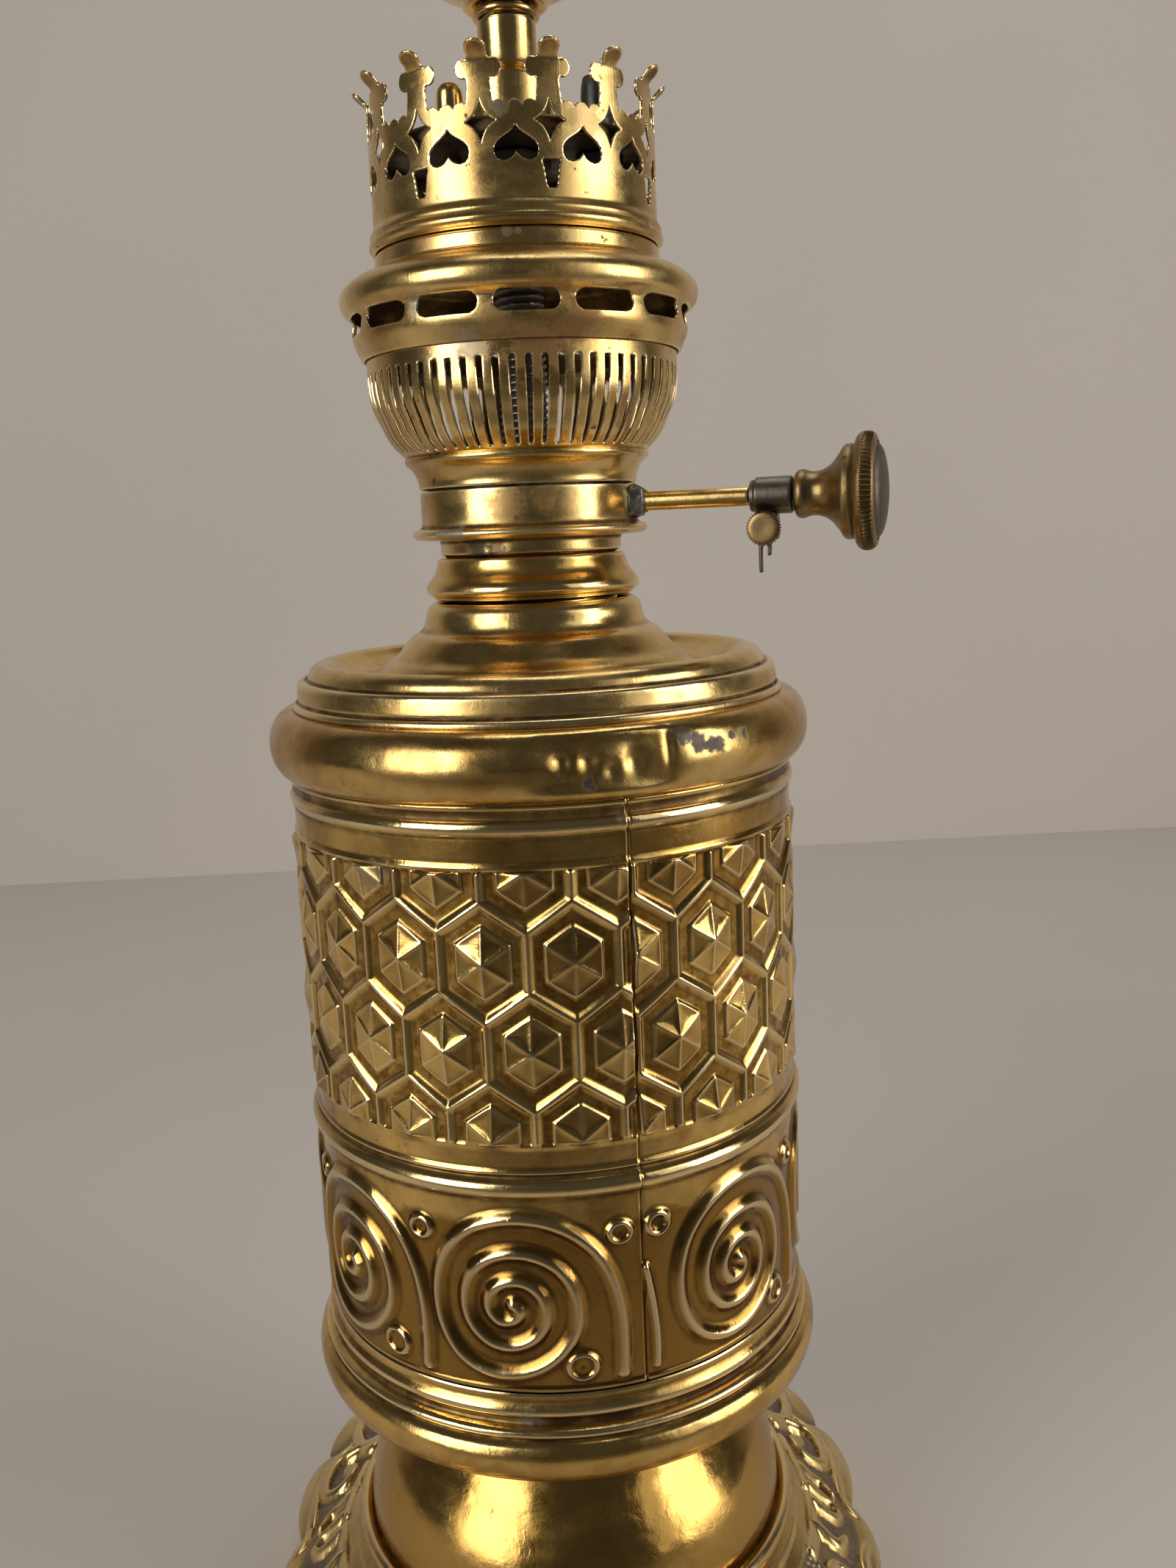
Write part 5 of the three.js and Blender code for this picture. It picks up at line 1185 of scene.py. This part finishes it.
def wire(points, radius, segments=14, step=0.25):
    """A closed wire along points, with rounded ends."""
    line = catmull(points, step)
    t = np.gradient(line, axis=0)
    t /= np.linalg.norm(t, axis=1, keepdims=True)
    side = np.cross(t, np.array([0.0, 1.0, 0.0]))
    side /= np.maximum(np.linalg.norm(side, axis=1, keepdims=True), 1e-9)
    over = np.cross(side, t)
    angle = once_round(segments)[:, None]

    def ring(i, forward, share):
        around_it = np.cos(angle) * side[i] + np.sin(angle) * over[i]
        return line[i] + t[i] * forward + share * radius * around_it

    rings = [ring(0, -0.7 * radius, 0.7), ring(0, 0.0, 1.0)]
    rings += [ring(i, 0.0, 1.0) for i in range(1, len(line) - 1)]
    rings += [ring(-1, 0.0, 1.0), ring(-1, 0.7 * radius, 0.7)]
    ends = [line[0] - t[0] * radius, line[-1] + t[-1] * radius]
    return np.vstack([*rings, *ends]), capped(len(rings), segments), None


def split_pin():
    """A wire bent into an eye, with two legs below."""
    eye, y = 1.75, -2.82
    gap = math.asin(0.85 / eye)
    turns = [-90 * DEG - gap - (TURN - 2 * gap) * i / 8 for i in range(9)]
    return wire([
        (SCREW_X - 0.85, y, SCREW_Z - 8.3), (SCREW_X - 0.9, y, SCREW_Z - 4.5),
        *((SCREW_X + eye * math.cos(t), y, SCREW_Z + eye * math.sin(t)) for t in turns),
        (SCREW_X + 0.9, y, SCREW_Z - 3.4), (SCREW_X + 0.85, y, SCREW_Z - 5.0)], 0.42)


on_raiser("split_pin_wire", split_pin(), "burner", steel, ["split_pin"])


CUP_R = 22.6


def boss_lump():
    """A lump of solder where the spindle's tube leaves the cup."""
    rows, cols = 26, 72
    t = np.linspace(0, 1, rows)[:, None]
    a = once_round(cols)
    x = 21.3 + 4.1 * t
    taper = 1 - 0.35 * t**1.5
    square = (np.abs(np.cos(a)) ** 3.2 + np.abs(np.sin(a)) ** 3.2) ** (-1 / 3.2)
    wob = 1 + 0.05 * np.sin(3 * a + 4 * t) + 0.04 * np.sin(7 * a - 9 * t)
    end = np.sqrt(np.clip(1 - unit((t - 0.82) / 0.18) ** 2, 0.25, 1))
    y, z = (size * taper * square * wob * end * wave for size, wave in ((3.2, np.sin(a)), (3.6, np.cos(a))))
    outer = np.stack([np.maximum(x + 0 * y, np.sqrt(np.maximum(CUP_R**2 - y**2, 0))), y, z], -1)
    bore_x = np.linspace(25.4, CUP_R, rows)[:, None]
    bore = np.stack(np.broadcast_arrays(bore_x, 2.2 * np.sin(a), 2.2 * np.cos(a)), -1)
    return closed_rings([*outer, *bore], np.full(2 * rows * cols, 0.02))


on_raiser("tube_boss_solder", boss_lump(), "burner", solder, ["tube_boss"], 60)

# Electric fitting


def on_burner(name, made, material, replaced, body="burner"):
    return build(name, made, body, material, replaced, turn=BURNER_TURN)


def threaded(inner, outer, bottom, top, pitch, depth, segments=96):
    """A tube with a screw thread outside."""
    z = np.arange(bottom, top + 1e-6, pitch / 8)
    a = once_round(segments)
    wave = (np.cos(TURN * z[:, None] / pitch - a) - 1) / 2
    ends = unit(np.minimum(z - bottom, top - z) / (pitch / 2))[:, None]
    outside = around(outer + depth * wave - depth * (1 - ends), a, z[:, None])
    inside = [around(inner, a, level) for level in np.linspace(top, bottom, 6)]
    form = np.concatenate([(-0.12 * wave).ravel() * 1.4, np.zeros(6 * segments)])
    return closed_rings([*outside, *inside], form)


pipe = threaded(3.6, 5.0, 249.65, 365.3, 1.5, 0.55)
on_burner("threaded_pipe_steel", pipe, zinc, ["threaded_pipe"])

plate = turned(
    [(5.3, 331.35, 1), (24.6, 331.35, 1), (25.2, 330.9, 1), (25.2, 329.4, 1), (26.15, 329.4, 1),
     (26.15, 331.6), (25.6, 332.3), (24.4, 332.35), (5.3, 332.3, 1), (5.3, 331.4)], 160)
on_burner("cover_plate_spun", plate, sooty, ["cover_plate"])

stem = turned(
    [(5.3, 332.6, 1), (8.3, 332.6, 1), (8.5, 333.0), (8.5, 344.2), (8.35, 345.0), (7.8, 345.6), (6.8, 346.1),
     (6.1, 347.2), (5.8, 349.0), (5.8, 355.8, 1), (5.3, 356.0, 1), (5.3, 332.7)], 128)
on_burner("stem_turned", stem, burner_brass, ["stem"])

stem_ring = turned(
    [(5.3, 356.3, 1), (6.1, 356.35), (6.65, 356.8), (6.7, 357.2), (6.4, 357.75), (5.3, 358.0, 1),
     (5.3, 356.4)], 128, 0.15)
on_burner("stem_ring_turned", stem_ring, burner_brass, ["stem_ring"])


def placed(made, angle, distance):
    """A turned piece moved out on the burner at an angle from its front."""
    v, f, form = made
    return v + from_front(distance, (angle - BURNER_TURN) * DEG, 0), f, form


gland = turned(
    [(2.3, 328.7, 1), (2.55, 328.7, 1), (2.55, 332.5, 1), (3.2, 332.7, 1), (3.2, 338.0, 1), (2.95, 338.3, 1),
     (3.2, 338.6, 1), (3.2, 342.8), (3.05, 344.4), (2.7, 346.0, 1), (2.3, 346.05, 1), (2.3, 328.8)], 72, 0.2)
on_burner("cord_gland_moulded", placed(gland, 94, 17.4), plastic, ["cord_gland"])

plate_screw = on_axis(
    [(0, 329.8, 1), (1.6, 329.8, 1), (1.6, 332.6, 1), (2.55, 332.7, 1), (2.6, 333.2), (2.6, 342.8),
     (2.35, 344.1), (1.6, 345.1), (0, 345.55)], 72, 0.25)
on_burner("plate_screw_turned", placed(plate_screw, -90, 11.9), burner_brass, ["plate_screw"])

holder_cap = lined(
    [(5.4, 358.4, 1), (7.9, 358.4), (8.5, 358.9), (8.8, 360.2), (9.9, 361.1), (12.2, 361.9), (14.8, 363.1),
     (17.0, 365.0), (18.7, 367.6), (19.6, 370.6), (19.95, 374), (19.95, 378.2)],
    [(19.1, 378.2), (19.1, 373.2), (17.5, 368.8), (15.0, 365.0), (12.5, 362.6), (9.0, 361.5), (5.4, 361.5)])
on_burner("holder_cap_spun", holder_cap, polished, ["holder_cap"])

holder_shell = turned(
    [(19.2, 378.8, 1), (20.3, 378.8), (20.5, 379.4), (20.3, 380.2), (20.0, 380.6, 1), (20.0, 386.0, 1),
     (20.25, 386.6), (20.0, 387.2, 1), (20.0, 408.5, 1), (20.25, 409.1), (20.0, 409.7, 1), (20.0, 415.6),
     (20.35, 416.1), (20.5, 416.8), (20.2, 417.5), (19.4, 417.6, 1), (19.2, 416.5, 1), (19.2, 379.0)],
    step=0.3, fine=0.4)
on_burner("holder_shell_spun", holder_shell, polished, ["holder_shell"], "holder_top")


def lamp_thread():
    """A round thread pressed in thin sheet, with a floor that has a hole."""
    base, top, radius, pitch, depth, segments = 378.3, 402.3, 13.35, 3.6, 0.45, 128
    z = np.arange(base + 0.4, top + 1e-6, pitch / 12)
    a = once_round(segments)
    fade = unit(np.minimum(z - base - 0.6, top - z) / 1.8)[:, None]
    wave = depth * (0.5 + 0.5 * np.cos(TURN * z[:, None] / pitch - a)) * fade
    outside = around(radius - 0.05 + wave * 0.8, a, z[:, None])
    inside = around(radius - 0.45 + wave * 0.8, a, z[:, None])[::-1]
    return closed_rings([around(4.1, a, base), around(12.9, a, base), *outside, *inside,
                         around(12.5, a, base + 0.4), around(4.1, a, base + 0.4)])


on_burner("thread_sleeve_pressed", lamp_thread(), polished, ["thread_sleeve"])

rim = turned(
    [(14.05, 414.2, 1), (18.8, 414.2, 1), (18.85, 416.4), (18.4, 417.1), (17.4, 417.25), (15.6, 417.25),
     (14.5, 417.1), (14.05, 416.4, 1), (14.05, 414.3)], 128)
on_burner("rim_insulator_glazed", rim, porcelain, ["rim_insulator"], "holder_top")

# Stage, light and camera


# Painted falloff of light on the floor: where it starts and ends in front, in metres, and its grey
PAINTED_FALLOFF = (-0.4, -0.08)
PAINTED_FALLOFF_GREY = (0.12, 0.105, 0.09)


def plain(name, colour):
    """A plain paint with a painted falloff of light: pale near the object, it turns to a painted grey well in
    front of it.
    """
    s = Shade(name)
    tone = s.mix(s.ramp(s.noise(3, 2), 0.3, 0.7), colour, tuple(c * 0.96 for c in colour))
    # Painted falloff of light: the paint turns to grey in front of the object
    tone = s.mix(s.ramp(s.coordinate("Y"), *PAINTED_FALLOFF), PAINTED_FALLOFF_GREY, tone)
    return s.finish(Base_Color=tone, Roughness=0.9)


def slab(name, corners, material):
    mesh = bpy.data.meshes.new(name)
    mesh.from_pydata([Vector(c) for c in corners], [], [tuple(range(len(corners)))])
    mesh.materials.append(material)
    linked(name, mesh)


wall_paint = plain("backdrop_paint", (0.64, 0.585, 0.53))
floor_paint = plain("floor_paint", (0.66, 0.615, 0.57))
FAR, NEAR, SIDE, TALL = 0.75, -3.0, 3.0, 3.5
slab("floor", [(-SIDE, NEAR, 0), (SIDE, NEAR, 0), (SIDE, FAR, 0), (-SIDE, FAR, 0)], floor_paint)
slab("backdrop", [(-SIDE, FAR, 0), (SIDE, FAR, 0), (SIDE, FAR, TALL), (-SIDE, FAR, TALL)], wall_paint)


def lamp(name, location, target, size, energy, colour=(1, 1, 1)):
    data = bpy.data.lights.new(name, "AREA")
    data.shape = "RECTANGLE"
    data.size, data.size_y = size
    data.energy = energy
    data.color = colour
    obj = linked(name, data)
    obj.location = location
    obj.rotation_euler = (Vector(target) - Vector(location)).to_track_quat("-Z", "Y").to_euler()


lamp("lamp_left", (-1.0, -0.85, 0.55), (0, 0, 0.24), (0.7, 0.95), 8, (1.0, 0.98, 0.94))
lamp("lamp_right", (1.15, -0.45, 0.5), (0, 0, 0.22), (0.6, 0.95), 6.8, (1.0, 0.97, 0.92))
lamp("lamp_top", (0.1, 0.25, 1.5), (0, 0.1, 0.2), (0.7, 0.7), 3.5)
lamp("soft_left", (-1.5, -1.5, 0.9), (0, 0, 0.25), (1.1, 1.8), 4.6, (1.0, 0.98, 0.93))
lamp("soft_right", (1.6, -1.3, 0.9), (0, 0, 0.25), (0.8, 1.8), 3.4, (1.0, 0.97, 0.92))

world = bpy.data.worlds.new("studio")
bpy.context.scene.world = world
world.use_nodes = True
background = world.node_tree.nodes["Background"]
background.inputs["Color"].default_value = (0.95, 0.91, 0.86, 1)
background.inputs["Strength"].default_value = 0.06

FOCAL_PX, PITCH, YAW, ROLL = 1822.6, 10.92, 1.97, -2.39
CAMERA_AT = Vector((0.0, -286.8, 258.64)) * MM
SENSOR, LONG_SIDE_PX = 36.0, 2133.0
cos, sin = math.cos, math.sin
forward = Vector((sin(YAW * DEG) * cos(PITCH * DEG), cos(YAW * DEG) * cos(PITCH * DEG), -sin(PITCH * DEG)))
level_right = Vector((cos(YAW * DEG), -sin(YAW * DEG), 0))
upright = level_right.cross(forward)
c, s = cos(ROLL * DEG), sin(ROLL * DEG)
axis_x = c * level_right + s * upright
axis_y = -s * level_right + c * upright
camera_data = bpy.data.cameras.new("camera")
camera_data.sensor_width = SENSOR
camera_data.lens = SENSOR * FOCAL_PX / LONG_SIDE_PX
camera_data.clip_start = 0.01
camera_data.clip_end = 20
camera = linked("camera", camera_data)
camera.matrix_world = Matrix((axis_x, axis_y, -forward)).transposed().to_4x4()
camera.matrix_world.translation = CAMERA_AT
bpy.context.scene.camera = camera
bpy.context.scene.view_settings.view_transform = "Standard"
